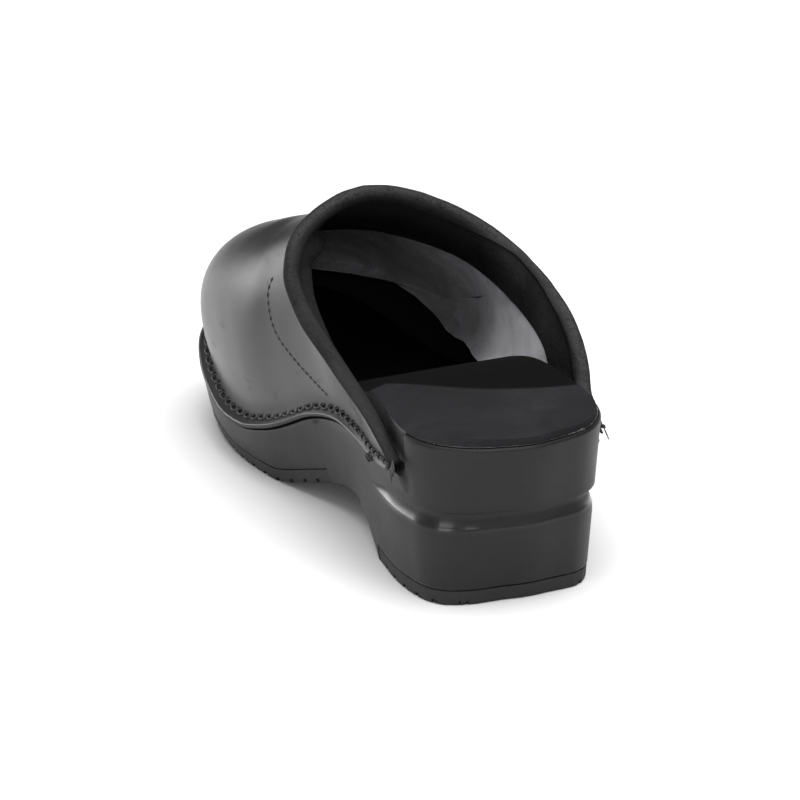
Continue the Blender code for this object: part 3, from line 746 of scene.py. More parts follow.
def under_flange(side, row, share):
    """Point of the sole's ledge: share is 0 at the wall's foot and 1 at the edge."""
    safe_row = max(row, FIRST_SECTION)
    edge = flange_edge(side, safe_row)
    foot = wall_foot(side, safe_row)
    fall = foot[2] - edge[2]
    run = np.linalg.norm(foot[:2] - edge[:2])
    slant = math.atan2(fall, run)
    thickness = UPPER_WALL + 1.6 * FIT_GAP
    edge_at = edge_inset(side, row)
    inset = lerp(riser_inset(side, row), edge_at + thickness * math.sin(slant), share)
    reach = inset - edge_at
    height = edge[2] - thickness / math.cos(slant) + fall * reach / run
    corner = foot[2] - thickness * math.tan(math.pi / 4 - slant / 2) - FIT_GAP
    return inset, min(height, corner)


def tread_cover(along):
    """1 where a tread lies under the sole, 0 along the bare arch."""
    clear = TREAD_CLEAR
    return float(along < HEEL_TREAD_END + clear or along > FORE_TREAD_START - clear)


def sole_side(side, row):
    """Points of one side of the sole at a row, from the bottom edge to the foot bed."""
    along = along_of(row)
    heel = 1.0 - ease(*HEEL_BLOCK_END, along / SHOE_LENGTH)
    ledge = ledge_share(along)
    ledge_inset, ledge_height = under_flange(side, row, 1.0)
    inner_inset, inner_height = under_flange(side, row, 0.0)
    bottom = profile("floor", along) + (TREAD_THICKNESS + FIT_GAP) * tread_cover(along)
    depth = GROOVE_DEPTH * (1.0 - ease(GROOVE_FADES * GROOVE_REACH, GROOVE_REACH, along))
    opening = 1.0 - GROOVE_CLOSING * ease(GROOVE_CLOSES * GROOVE_REACH, GROOVE_REACH, along)

    points = []
    for level in range(len(LEVELS["heel"])):
        on_heel = LEVELS["heel"][level]
        if GROOVE_ROWS[0] <= level < GROOVE_ROWS[1]:
            on_heel = lerp(GROOVE_TIP_HEIGHT, on_heel, opening)
        heel_height = on_heel * HEEL_HEIGHT
        fore_height = lerp(bottom, ledge_height, LEVELS["fore"][level])
        height = lerp(fore_height, heel_height, heel)
        if level < 2:
            height = bottom + EDGE_ROUND * level
        inset = tuck(side, row, height) + depth * LEVELS["recess"][level]
        inset += EDGE_ROUND * LEVELS["inset"][level]
        points.append((*inset_point(side, row, inset), height))

    bed = profile("bed", inset_point(side, row, inner_inset)[1])
    steps = (
        (ledge_inset, ledge_height, lerp(LEVELS["heel"][-1], 1.0, PLAIN_STEPS[0]) * HEEL_HEIGHT),
        (inner_inset, inner_height, lerp(LEVELS["heel"][-1], 1.0, PLAIN_STEPS[1]) * HEEL_HEIGHT),
        (inner_inset, bed - EDGE_ROUND, bed - EDGE_ROUND),
    )
    for inset, height, heel_height in steps:
        height = lerp(heel_height, height, ledge)
        inset = lerp(tuck(side, row, height), inset, ledge)
        points.append((*inset_point(side, row, inset), height))
    top = lerp(EDGE_ROUND, inner_inset + EDGE_ROUND / 2, ledge)
    edge = inset_point(side, row, top)
    points.append((*edge, profile("bed", edge[1])))
    return points


def sole_rows():
    """Outline rows of the sole's slices: even ones and those where its form changes."""
    marks = [row_at(mark) for mark in (
        HEEL_TREAD_END + 0.5 * TREAD_CLEAR, HEEL_TREAD_END + 1.5 * TREAD_CLEAR,
        FORE_TREAD_START - 1.5 * TREAD_CLEAR, FORE_TREAD_START - 0.5 * TREAD_CLEAR,
    )]
    even = np.arange(0.0, LAST_ROW + 0.5 * SOLE_STEP, SOLE_STEP)
    rows = [float(row) for row in even if all(abs(row - mark) > 0.03 for mark in marks)]
    return sorted(rows + marks)


def shoe_place():
    """Shift from the shoe's own frame, heel at 0, to the row frame."""
    low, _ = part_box("sole")
    widest = min(point[0] for row in sole_rows() for point in sole_side(MEDIAL, row))
    return np.array([low.x - widest, low.y, 0.0])


PLACE = shoe_place()


def new_piece(name, mesh, finishes, replaced=()):
    """Link a finished mesh as a piece of the shoe."""
    obj = bpy.data.objects.new(name, mesh)
    for finish in finishes:
        mesh.materials.append(finish)
    bpy.context.scene.collection.objects.link(obj)
    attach(obj, "root")
    if replaced:
        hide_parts(*replaced)
    return obj


def mesh_of(name, bm, merge=1e-6, smooth_angle=None):
    """Mesh of a bmesh in the shoe's own frame, put in the row frame, merged and smoothed."""
    bmesh.ops.remove_doubles(bm, verts=bm.verts, dist=merge)
    bmesh.ops.dissolve_degenerate(bm, dist=1e-7, edges=bm.edges)
    bmesh.ops.recalc_face_normals(bm, faces=bm.faces)
    bmesh.ops.translate(bm, verts=bm.verts, vec=Vector(PLACE))
    mesh = bpy.data.meshes.new(name)
    bm.to_mesh(mesh)
    bm.free()
    mesh.shade_smooth()
    if smooth_angle is not None:
        mesh.set_sharp_from_angle(angle=smooth_angle)
    return mesh


def grid_faces(bm, grid, closed=False):
    """Quads over rows of points; closed joins each row's last point to its first."""
    rows = [[bm.verts.new(point) for point in row] for row in grid]
    count = len(rows[0])
    span = count if closed else count - 1
    for here, there in zip(rows, rows[1:]):
        for index in range(span):
            after = (index + 1) % count
            bm.faces.new((here[index], here[after], there[after], there[index]))
    return rows


def tube(bm, points, radius, sides=6, closed=False):
    """Round thread through points; radius is one number or one for each point."""
    points = [Vector(point) for point in points]
    count = len(points)
    radii = [radius] * count if isinstance(radius, float) else radius
    rings = []
    normal = None
    for index, point in enumerate(points):
        before = points[index - 1] if index or closed else point
        after = points[(index + 1) % count] if index < count - 1 or closed else point
        run = (after - before).normalized()
        if normal is None:
            normal = run.orthogonal().normalized()
        normal = (normal - run * normal.dot(run)).normalized()
        side = run.cross(normal)
        ring = []
        for step in range(sides):
            turn = 2 * math.pi * step / sides
            spread = (normal * math.cos(turn) + side * math.sin(turn)) * radii[index]
            ring.append(bm.verts.new(point + spread))
        rings.append(ring)
    pairs = list(zip(rings, rings[1:]))
    if closed:
        shift = min(range(sides), key=lambda k: (rings[0][k].co - rings[-1][0].co).length)
        pairs.append((rings[-1], rings[0][shift:] + rings[0][:shift]))
    else:
        bm.faces.new(rings[0][::-1])
        bm.faces.new(rings[-1])
    for here, there in pairs:
        for step in range(sides):
            after = (step + 1) % sides
            bm.faces.new((here[step], here[after], there[after], there[step]))


class Value:
    """A shader socket; arithmetic on it adds Math nodes."""

    def __init__(self, finish, socket):
        self.finish = finish
        self.socket = socket

    def joined(self, operation, first, second):
        return self.finish.node("ShaderNodeMath", {"operation": operation},
                                {0: first, 1: second})

    def __add__(self, other):
        return self.joined("ADD", self, other)

    __radd__ = __add__

    def __sub__(self, other):
        return self.joined("SUBTRACT", self, other)

    def __rsub__(self, other):
        return self.joined("SUBTRACT", other, self)

    def __mul__(self, other):
        return self.joined("MULTIPLY", self, other)

    __rmul__ = __mul__

    def between(self, low, high):
        """0 below low and 1 above high, smooth between."""
        return self.finish.node("ShaderNodeMapRange", {"interpolation_type": "SMOOTHSTEP"},
                                {"Value": self, "From Min": low, "From Max": high})


class Finish:
    """A material built round one Principled shader."""

    def __init__(self, name):
        self.material = bpy.data.materials.new(name)
        self.material.use_nodes = True
        self.tree = self.material.node_tree
        self.shader = self.tree.nodes["Principled BSDF"]
        self.place = self.node("ShaderNodeTexCoord", {}, {}, output="Object")

    def link(self, socket, value):
        if isinstance(value, Value):
            self.tree.links.new(value.socket, socket)
        elif isinstance(value, (tuple, list)) and len(value) == 3 and socket.type == "RGBA":
            socket.default_value = (*value, 1.0)
        else:
            socket.default_value = value

    def node(self, kind, settings, sockets, output=0):
        """Any node: its settings first, then the values or links of its sockets."""
        node = self.tree.nodes.new(kind)
        for name, setting in settings.items():
            setattr(node, name, setting)
        for name, value in sockets.items():
            self.link(node.inputs[name], value)
        return Value(self, node.outputs[output])

    def noise(self, scale, detail=3.0, roughness=0.55, stretch=(1.0, 1.0, 1.0), shift=0.0,
              warp=0.0):
        """Cloudy values about 0.5; scale counts features to the metre."""
        spot = self.node("ShaderNodeMapping", {}, {
            "Vector": self.place, "Location": (shift, shift, shift), "Scale": stretch})
        return self.node("ShaderNodeTexNoise", {}, {
            "Vector": spot, "Scale": scale, "Detail": detail, "Roughness": roughness,
            "Distortion": warp})

    def cells(self, scale, feature="F1"):
        return self.node("ShaderNodeTexVoronoi", {"feature": feature}, {
            "Vector": self.place, "Scale": scale}, output="Distance")

    def axis(self, name):
        """One coordinate of the place in the row frame, in metres."""
        return self.node("ShaderNodeSeparateXYZ", {}, {"Vector": self.place}, output=name)

    def mask(self, name):
        """A point attribute of the mesh, 0 to 1."""
        return self.node("ShaderNodeAttribute", {"attribute_name": name}, {}, output="Fac")

    def blend(self, factor, first, second):
        """Colour between two colours."""
        node = self.tree.nodes.new("ShaderNodeMix")
        node.data_type = "RGBA"
        self.link(node.inputs["Factor"], factor)
        self.link(node.inputs[6], first)
        self.link(node.inputs[7], second)
        return Value(self, node.outputs[2])

    def shades(self, factor, colour, dark, light):
        """Colour between a darker and a lighter shade of one colour."""
        return self.blend(factor, toned(colour, dark), toned(colour, light))

    def bump(self, height, depth, strength=1.0, normal=None):
        """Relief of that depth in metres where height goes from 0 to 1."""
        sockets = {"Height": height, "Distance": depth, "Strength": strength}
        if normal is not None:
            sockets["Normal"] = normal
        return self.node("ShaderNodeBump", {}, sockets, output="Normal")

    def finished(self, **sockets):
        for name, value in sockets.items():
            self.link(self.shader.inputs[name.replace("_", " ")], value)
        return self.material


def toned(colour, factor):
    """A colour made lighter or darker, as three numbers."""
    return tuple(part * factor for part in colour)


def leather_finish(colours):
    """Smooth black box leather: fine grain, drawn streaks, a soft gloss and faint scuffs, with a
    painted shade and less gloss in the fold between wall and flange.
    """
    finish = Finish("upper_leather")
    leather = colours.leather
    grain = finish.cells(2600.0, feature="SMOOTH_F1")
    pores = finish.noise(5200.0, detail=2.0)
    drawn = finish.noise(38.0, detail=4.0, stretch=(1.0, 0.35, 0.18), warp=0.4)
    cloud = finish.noise(24.0, detail=3.0, shift=3.1)
    scuff = finish.noise(900.0, detail=3.0, stretch=(1.0, 0.12, 0.3), shift=7.7)
    wear_and_fold_shade = finish.mask("fold")
    tone = finish.shades((drawn * 0.6 + cloud * 0.4).between(0.36, 0.66), leather, 0.78, 1.28)
    # Painted shade: the fold between wall and flange is painted darker, where shade falls in the
    # crease; the same mask makes it rougher
    tone = finish.blend(wear_and_fold_shade * 0.8, tone, toned(leather, 0.45))
    relief = finish.bump(grain + pores * 0.5, 0.00006, strength=0.5)
    relief = finish.bump(drawn, 0.0006, strength=0.35, normal=relief)
    gloss = 0.33 + (cloud - 0.5) * 0.16 + scuff.between(0.60, 0.78) * 0.14 + wear_and_fold_shade * 0.2
    return finish.finished(Base_Color=tone, Roughness=gloss, Normal=relief,
                           Specular_IOR_Level=0.46, Coat_Weight=0.08, Coat_Roughness=0.28)


def flesh_finish(colours):
    """Napped inside of the black leather."""
    finish = Finish("leather_flesh_side")
    nap = finish.noise(1500.0, detail=4.0)
    base = colours.inside
    tone = finish.shades(nap.between(0.35, 0.7), base, 0.7, 1.3)
    return finish.finished(Base_Color=tone, Roughness=0.92, Specular_IOR_Level=0.2,
                           Normal=finish.bump(nap, 0.0002, strength=0.6))


def cut_finish(colours):
    """Raw cut edge of the flange: brushed, a little lighter than the leather."""
    finish = Finish("leather_cut_edge")
    fibre = finish.noise(2400.0, detail=4.0, stretch=(1.0, 1.0, 0.3))
    base = colours.leather
    tone = finish.shades(fibre.between(0.35, 0.7), base, 0.8, 2.1)
    return finish.finished(Base_Color=tone, Roughness=0.7, Specular_IOR_Level=0.35,
                           Normal=finish.bump(fibre, 0.0002, strength=0.6))


def collar_finish(colours):
    """Soft fine-grained lining leather of the rim and band, with fine cross wrinkles."""
    finish = Finish("collar_leather")
    base = colours.collar
    grain = finish.cells(1500.0, feature="SMOOTH_F1")
    wrinkle = finish.noise(420.0, detail=4.0, warp=1.6)
    fold = finish.noise(190.0, detail=3.0, stretch=(1.0, 0.5, 0.5), shift=8.0, warp=0.8)
    cloud = finish.noise(45.0, detail=3.0, shift=2.0)
    rubbed = finish.mask("rubbed")
    tone = finish.shades(cloud.between(0.35, 0.65), base, 0.75, 1.25)
    tone = finish.blend(rubbed * wrinkle.between(0.30, 0.55), tone, toned(base, 3.2))
    relief = finish.bump(grain, 0.00012, strength=0.6)
    relief = finish.bump(wrinkle, 0.0006, strength=0.7, normal=relief)
    relief = finish.bump(fold, 0.0011, strength=0.5, normal=relief)
    gloss = 0.64 + (cloud - 0.5) * 0.2 - rubbed * 0.08
    return finish.finished(Base_Color=tone, Roughness=gloss, Normal=relief,
                           Specular_IOR_Level=0.14)


def lining_finish(colours):
    """Grey napped lining of the vamp, with clouded tone and faint lighter marks."""
    finish = Finish("vamp_lining")
    base = colours.lining
    nap = finish.noise(2200.0, detail=4.0)
    cloud = finish.noise(60.0, detail=4.0, shift=1.3, warp=0.6)
    marks = finish.noise(300.0, detail=2.0, stretch=(1.0, 0.2, 0.4), shift=5.0)
    tone = finish.shades(cloud.between(0.3, 0.7), base, 0.72, 1.22)
    tone = finish.blend(nap.between(0.4, 0.7) * 0.35, tone, toned(base, 1.5))
    tone = finish.blend(marks.between(0.62, 0.72) * 0.4, tone, toned(base, 1.7))
    relief = finish.bump(nap, 0.00018, strength=0.6)
    return finish.finished(Base_Color=tone, Roughness=0.88, Normal=relief,
                           Specular_IOR_Level=0.25, Sheen_Weight=0.15)


def sole_finish(colours):
    """Moulded polyurethane: satin skin, mould flow, pinholes, scratches, a glossy groove with a
    painted shadow in its upper crease.
    """
    finish = Finish("sole_moulding")
    base = colours.sole
    skin = finish.noise(700.0, detail=4.0)
    flow = finish.noise(30.0, detail=4.0, stretch=(1.0, 0.5, 1.6), warp=0.8)
    pits = finish.cells(430.0)
    pit_here = finish.noise(60.0, detail=2.0, shift=9.0)
    scratch = finish.noise(500.0, detail=3.0, stretch=(1.0, 0.10, 0.9), shift=4.0)
    tone = finish.shades(flow.between(0.35, 0.65), base, 0.82, 1.20)
    tone = finish.blend(scratch.between(0.66, 0.76) * 0.5, tone, toned(base, 1.9))
    hole = (1.0 - pits.between(0.05, 0.16)) * pit_here.between(0.56, 0.64)
    tone = finish.blend(hole, tone, toned(base, 0.3))
    relief = finish.bump(skin, 0.00008, strength=0.5)
    relief = finish.bump(flow, 0.0006, strength=0.25, normal=relief)
    relief = finish.bump(1.0 - hole, 0.0004, strength=0.8, normal=relief)
    shoulder = finish.mask("shoulder")
    # Painted shadow: the groove's upper crease, under the lip, is painted near black
    tone = finish.blend(finish.mask("crease") * 0.9, tone, toned(base, 0.1))
    gloss = 0.46 + (flow - 0.5) * 0.25 + (skin - 0.5) * 0.12 - shoulder * 0.20
    return finish.finished(Base_Color=tone, Roughness=gloss, Normal=relief,
                           Specular_IOR_Level=0.30, Coat_Weight=shoulder * 0.8,
                           Coat_Roughness=0.16)


def tread_finish(colours):
    """Harder rubber of the treads, dusty and matt."""
    finish = Finish("tread_rubber")
    base = toned(colours.tread, 1.0)
    grit = finish.noise(1600.0, detail=3.0)
    dust = finish.noise(70.0, detail=4.0, shift=6.0)
    tone = finish.blend(dust.between(0.45, 0.75) * 0.6, base, toned(base, 1.8))
    return finish.finished(Base_Color=tone, Roughness=0.66 + (grit - 0.5) * 0.2,
                           Normal=finish.bump(grit, 0.0001, strength=0.5),
                           Specular_IOR_Level=0.4)


def sock_finish(colours):
    """Dark nubuck-like sock on the insole, with rubbed arcs and faint creases, painted near black
    as shade beyond a slanted line across its front.
    """
    finish = Finish("insole_sock")
    base = colours.insole
    nap = finish.noise(1900.0, detail=4.0)
    cloud = finish.noise(32.0, detail=4.0, warp=0.5)
    arcs = finish.noise(150.0, detail=3.0, stretch=(0.35, 1.0, 1.0), shift=2.4, warp=0.5)
    tone = finish.shades(cloud.between(0.35, 0.7), base, 0.80, 1.25)
    tone = finish.blend(nap.between(0.45, 0.7) * 0.3, tone, toned(base, 1.5))
    tone = finish.blend(arcs.between(0.58, 0.70) * 0.35, tone, toned(base, 1.7))
    # Painted shade: past a slanted line the sock's colour drops to near black, standing in for the
    # shadow inside the shoe
    side = finish.axis("X") - float(PLACE[0])
    shade_edge = SOCK_SHADE_EDGE[0] + side * SOCK_SHADE_EDGE[1] + side * side * SOCK_SHADE_EDGE[2]
    into_shade = finish.axis("Y") - float(PLACE[1]) - shade_edge
    tone = finish.blend(into_shade.between(0.0, 0.0025), tone, toned(base, 0.06))
    relief = finish.bump(nap, 0.00015, strength=0.5)
    relief = finish.bump(arcs, 0.0004, strength=0.3, normal=relief)
    return finish.finished(Base_Color=tone, Roughness=0.92 + (nap - 0.5) * 0.1,
                           Normal=relief, Specular_IOR_Level=0.10)


def thread_finish(colours):
    """Waxed twisted thread."""
    finish = Finish("waxed_thread")
    base = colours.thread
    twist = finish.noise(2600.0, detail=2.0)
    tone = finish.shades(twist.between(0.35, 0.65), base, 0.6, 1.6)
    return finish.finished(Base_Color=tone, Roughness=0.45,
                           Normal=finish.bump(twist, 0.0002, strength=0.7),
                           Specular_IOR_Level=0.5)


def glue_finish():
    """Clear dried cement with a wet gloss."""
    finish = Finish("dried_cement")
    lumps = finish.noise(900.0, detail=2.0)
    return finish.finished(Base_Color=(0.02, 0.019, 0.019), Roughness=0.16,
                           Normal=finish.bump(lumps, 0.0003, strength=0.6),
                           Specular_IOR_Level=0.6)


def floor_finish(colours):
    """Plain pale paper sweep."""
    finish = Finish("studio_paper")
    return finish.finished(Base_Color=toned(colours.paper, 1.0), Roughness=0.9,
                           Specular_IOR_Level=0.1)


def colour(name, description, default):
    return FloatVectorProperty(name=name, description=description, default=default,
                               subtype="COLOR", min=0.0, max=1.0)


def length(name, description, default, least, most):
    return FloatProperty(name=name, description=description, default=default,
                         unit="LENGTH", min=least, max=most)


class ClogColours(bpy.types.PropertyGroup):
    """Colours of the clog's pieces, as linear values."""

    leather: colour("Upper leather", "Smooth leather of the upper", (0.030, 0.0285, 0.029))
    inside: colour("Flesh side", "Inside of the upper beyond its lining", (0.012, 0.012, 0.012))
    collar: colour("Collar leather", "Padded rim and the band inside the topline",
                   (0.0105, 0.0101, 0.0103))
    lining: colour("Vamp lining", "Grey lining inside the vamp", (0.34, 0.34, 0.36))
    sole: colour("Sole", "Moulded sole unit", (0.0080, 0.0077, 0.0079))
    tread: colour("Treads", "Heel and forefoot treads", (0.0120, 0.0116, 0.0118))
    insole: colour("Sock", "Sock on the insole", (0.0155, 0.0155, 0.0168))
    thread: colour("Thread", "Waxed thread of the seams", (0.020, 0.0195, 0.0195))
    paper: colour("Paper", "Studio floor", (0.86, 0.86, 0.86))


class ClogSizes(bpy.types.PropertyGroup):
    """Sizes of the clog's flange stitching, lining and leather dents."""

    stitch_pitch: length("Flange stitch pitch", "Distance between the flange's loops",
                         0.0060, 0.003, 0.012)
    stitch_length: length("Flange stitch length", "Length of one loop", 0.0046, 0.002, 0.010)
    stitch_width: length("Flange stitch width", "Width of one loop", 0.0027, 0.001, 0.006)
    thread_radius: length("Thread radius", "Radius of the flange's thread", 0.00046, 0.0002, 0.001)
    lining_wall: length("Lining thickness", "Thickness of the vamp lining", 0.0006, 0.0002, 0.002)
    dent_depth: length("Leather dents", "How far the leather's face wanders", 0.00025, 0.0, 0.002)


def dent_at(point):
    """How far the leather's face wanders at a point of the row frame, about -1 to 1."""
    wide = noise.noise(Vector((point[0] * 38.0, point[1] * 23.0, point[2] * 15.0)))
    return wide + 0.35 * noise.noise(Vector(point) * 95.0 + Vector((4.0, 0.0, 0.0)))


class CLOG_OT_upper(bpy.types.Operator):
    """Leather upper with its flange: a shell with its own wall, flesh side and cut edge."""

    bl_idname = "clog.upper"
    bl_label = "Upper"

    def execute(self, context):
        sizes = context.scene.clog_sizes
        colours = context.scene.clog_colours
        lines = flange_lines(MEDIAL) + wall_lines() + flange_lines(LATERAL)[::-1]
        first = BEAD["way"][0] * BEAD_THICKNESS + 2 * FIT_GAP
        grid = []
        for index in range(UPPER_ROWS + 1):
            share = index / UPPER_ROWS
            grid.append([along_line(line, lerp(first, line[1][-1], share)) for line in lines])
        grid = np.array(grid)
        corner = FLANGE_COLUMNS
        for middle in (corner, len(lines) - 1 - corner):
            self.round_corner(grid, middle)
        bm = bmesh.new()
        # The fold mask: share of the painted shade in the turn between wall and flange
        fold = bm.verts.layers.float.new("fold")
        rows = grid_faces(bm, grid)
        for row in rows:
            for index, vert in enumerate(row):
                away = min(abs(index - corner), abs(len(lines) - 1 - corner - index))
                vert[fold] = max(1.0 - away / FOLD_REACH, 0.0)
        mesh = mesh_of("upper_leather", bm)
        top = max(mesh.polygons, key=lambda face: face.center.z)
        if top.normal.z < 0:
            mesh.flip_normals()
        self.dent(mesh, sizes.dent_depth)
        finishes = [leather_finish(colours), flesh_finish(colours), cut_finish(colours)]
        upper = new_piece("upper_leather", mesh, finishes, ("upper",))
        wall = upper.modifiers.new("wall", "SOLIDIFY")
        wall.thickness = UPPER_WALL
        wall.offset = -1.0
        wall.thickness_clamp = 0.8
        wall.use_quality_normals = True
        wall.material_offset = 1
        wall.material_offset_rim = 2
        return {"FINISHED"}

    def round_corner(self, grid, middle):
        """Ease the sharp turn between wall and flange over a few columns."""
        for _ in range(TURN_PASSES):
            smooth = grid.copy()
            for index in range(middle - TURN_REACH, middle + TURN_REACH + 1):
                smooth[:, index] = (grid[:, index - 1] + 2 * grid[:, index]
                                    + grid[:, index + 1]) / 4
            grid[:] = smooth

    def dent(self, mesh, depth):
        for vert, normal in zip(mesh.vertices, [v.normal.copy() for v in mesh.vertices]):
            vert.co += normal * depth * dent_at(vert.co)


class CLOG_OT_collar(bpy.types.Operator):
    """Padded rim on the topline, with a band of the same leather inside the wall."""

    bl_idname = "clog.collar"
    bl_label = "Collar"

    def execute(self, context):
        colours = context.scene.clog_colours
        lines = wall_lines()
        last = len(lines) - 1
        known = np.linspace(0.0, BAND["width"].max() + 0.002, COLLAR_SAMPLES)
        normals = face_normals(lines, known)
        bead = [(by_step(BEAD["way"], step) * BEAD_THICKNESS,
                 by_step(BEAD["deep"], step) * BEAD_THICKNESS)
                for step in np.arange(0.0, len(BEAD["way"]) - 0.99, 0.25)]
        loops = []
        for index, line in enumerate(lines):

            def at(way, deep):
                normal = read_off(way, known, normals[:, index])
                return along_line(line, way) - normal / np.linalg.norm(normal) * deep

            pad = ease(*PAD_GROWS, min(index, last - index) / WALL_COLUMNS)
            spot = Vector(along_line(line, 0.0))
            loops.append(self.rim(at, bead, pad, spot)
                         + self.band(at, bead, pad, spot, index / last))
        bm = bmesh.new()
        rubbed = bm.verts.layers.float.new("rubbed")
        rows = grid_faces(bm, loops, closed=True)
        count = len(bead)
        for index, row in enumerate(rows):
            wear_and_fold_shade = lerp(0.25, 1.0, ease(*RUBBED_FROM, index / last))
            for step in range(count):
                row[step][rubbed] = wear_and_fold_shade * bell(step / count, 0.42, 0.28)
        bm.faces.new(rows[0])
        bm.faces.new(rows[-1][::-1])
        mesh = mesh_of("collar_padding", bm)
        padding = new_piece("collar_padding", mesh, [collar_finish(colours)], ("collar",))
        return {"FINISHED"}

    def rim(self, at, bead, pad, spot):
        """Section of the padded rim, gathered in fine wrinkles."""
        loop = []
        for step, (way, deep) in enumerate(bead):
            if deep > COLLAR_SEAT:
                deep = lerp(COLLAR_SEAT + COLLAR_END_WALL, deep, pad)
            gather = noise.noise(spot * 210.0 + Vector((0.0, 0.0, step * 0.35)))
            gather += 0.6 * noise.noise(spot * 520.0 + Vector((step * 0.2, 0.0, 5.0)))
            swell = math.sin(math.pi * step / (len(bead) - 1)) * GATHER_DEPTH * gather
            loop.append(at(way - swell, deep + (-swell if deep < 0.001 else swell)))
        return loop

    def band(self, at, bead, pad, spot, place):
        """Section of the band: down its free face, round its edge and up along the wall."""
        wall = lerp(COLLAR_END_WALL, COLLAR_BAND_WALL * 0.8, pad)
        loose = by_key(BAND["place"], BAND["loose"], place)
        start = bead[-1][0] * 1.02
        run = max(by_key(BAND["place"], BAND["width"], place) - start, 0.0009)
        ways = [start + run * share for share in BAND_SHARES]
        loop = []
        for way, puff, share in zip(ways, BAND_PUFFS, BAND_SHARES):
            ripple = GATHER_DEPTH * noise.noise(spot * 160.0 + Vector((way * 300.0, 1.0, 0.0)))
            loop.append(at(way, COLLAR_SEAT + wall * puff + ripple + loose * share * share))
        loop += [at(way, COLLAR_SEAT + loose * share * share)
                 for way, share in zip(ways[:4:-1], BAND_SHARES[:4:-1])]
        back = (ways[3], bead[-1][0] * 0.75, bead[0][0])
        return loop + [at(way, COLLAR_SEAT) for way in back]


class CLOG_OT_sole(bpy.types.Operator):
    """Moulded sole unit with rounded edges, its groove and the seat for the treads."""

    bl_idname = "clog.sole"
    bl_label = "Sole unit"

    def execute(self, context):
        colours = context.scene.clog_colours
        soft = list(LEVELS["soft"][1:]) + [0.0004, 0.0006, 0.0005]
        loops = []
        for row in sole_rows():
            medial = softened(sole_side(MEDIAL, row), soft)
            lateral = softened(sole_side(LATERAL, row), soft)
            base = medial[0][2]
            under = across(medial[0], lateral[0], UNDER_COLUMNS,
                           lambda share, point, z=base: z)
            bed = across(lateral[-1], medial[-1], UNDER_COLUMNS, bed_height)
            loops.append(medial[::-1] + under + lateral + bed)
        bm = bmesh.new()
        shoulder = bm.verts.layers.float.new("shoulder")
        # crease: share of the painted shadow under the groove's lip
        crease = bm.verts.layers.float.new("crease")
        rows = grid_faces(bm, loops, closed=True)
        side = len(medial)
        for number, row in zip(sole_rows(), rows):
            along = along_of(number)
            here = 1.0 - ease(GROOVE_FADES * GROOVE_REACH, GROOVE_REACH, along)
            for step in range(side):
                level = (step + 1.5) / CORNER_POINTS
                for vert in (row[side - 1 - step], row[side + UNDER_COLUMNS + step]):
                    vert[shoulder] = here * bell(level, *SHOULDER_LEVEL)
                    vert[crease] = here * bell(level, *CREASE_SHADOW_LEVEL)
        mesh = mesh_of("sole_moulding", bm, smooth_angle=SHARP_FROM)
        new_piece("sole_moulding", mesh, [sole_finish(colours)], ("sole",))
        return {"FINISHED"}


class CLOG_OT_treads(bpy.types.Operator):
    """Finish of the heel and forefoot treads, which keep their solids."""

    bl_idname = "clog.treads"
    bl_label = "Treads"

    def execute(self, context):
        finish = tread_finish(context.scene.clog_colours)
        for name in ("tread_heel", "tread_forefoot"):
            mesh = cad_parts[name].data
            mesh.materials.clear()
            mesh.materials.append(finish)
        return {"FINISHED"}


class CLOG_OT_insole(bpy.types.Operator):
    """Insole with a turned lip, a slightly wandering edge and its napped sock."""

    bl_idname = "clog.insole"
    bl_label = "Insole"

    def execute(self, context):
        colours = context.scene.clog_colours
        loops = []
        for row in sole_rows():
            along = along_of(row)
            edges = []
            for side in (MEDIAL, LATERAL):
                inset = lerp(EDGE_ROUND + INSOLE_SETBACK, riser_inset(side, row),
                             ledge_share(along))
                edges.append(inset_point(side, row, inset))
            medial, lateral = edges
            loops.append(self.section(medial, lateral))
        bm = bmesh.new()
        grid_faces(bm, loops, closed=True)
        mesh = mesh_of("insole_sock", bm, smooth_angle=SHARP_FROM)
        new_piece("insole_sock", mesh, [sock_finish(colours)], ("insole",))
        return {"FINISHED"}

    def section(self, medial, lateral):
        """Section of the insole: flat below, a rolled lip at each edge and a soft top."""
        low_medial = (*medial, profile("bed", medial[1]) + FIT_GAP)
        low_lateral = (*lateral, profile("bed", lateral[1]) + FIT_GAP)
        under = across(low_medial, low_lateral, UNDER_COLUMNS,
                       lambda share, point: bed_height(share, point) + FIT_GAP)
        top = []
        for step in range(BED_COLUMNS + 1):
            share = step / BED_COLUMNS
            point = lerp(np.array(lateral), np.array(medial), share)
            height = bed_height(share, point) + FIT_GAP + INSOLE_WALL
            spot = Vector((point[0], point[1], 0.0))
            height += 0.00018 * noise.noise(spot * 70.0) - 0.0001
            top.append((point[0], point[1], height))
        width = np.linalg.norm(lateral - medial)
        if width >= 0.004:
            top = self.lip(top)
        return [low_medial] + under + [low_lateral] + top

    def lip(self, top):
        """Round the first and last points of the top down over the edge."""
        result = []
        for end, order in ((0, 1), (-1, -1)):
            corner = np.array(top[end])
            inward = np.array(top[end + order]) - corner
            inward /= np.linalg.norm(inward)
            arc = []
            for step in range(LIP_STEPS):
                turn = math.pi / 2 * step / (LIP_STEPS - 1)
                back = LIP_RADIUS * (1.0 - math.sin(turn))
                drop = LIP_RADIUS * (1.0 - math.cos(turn))
                arc.append(tuple(corner + inward * back - np.array([0.0, 0.0, drop])))
            result.append(arc)
        start, finish = result
        return start[::-1] + list(top[1:-1]) + finish


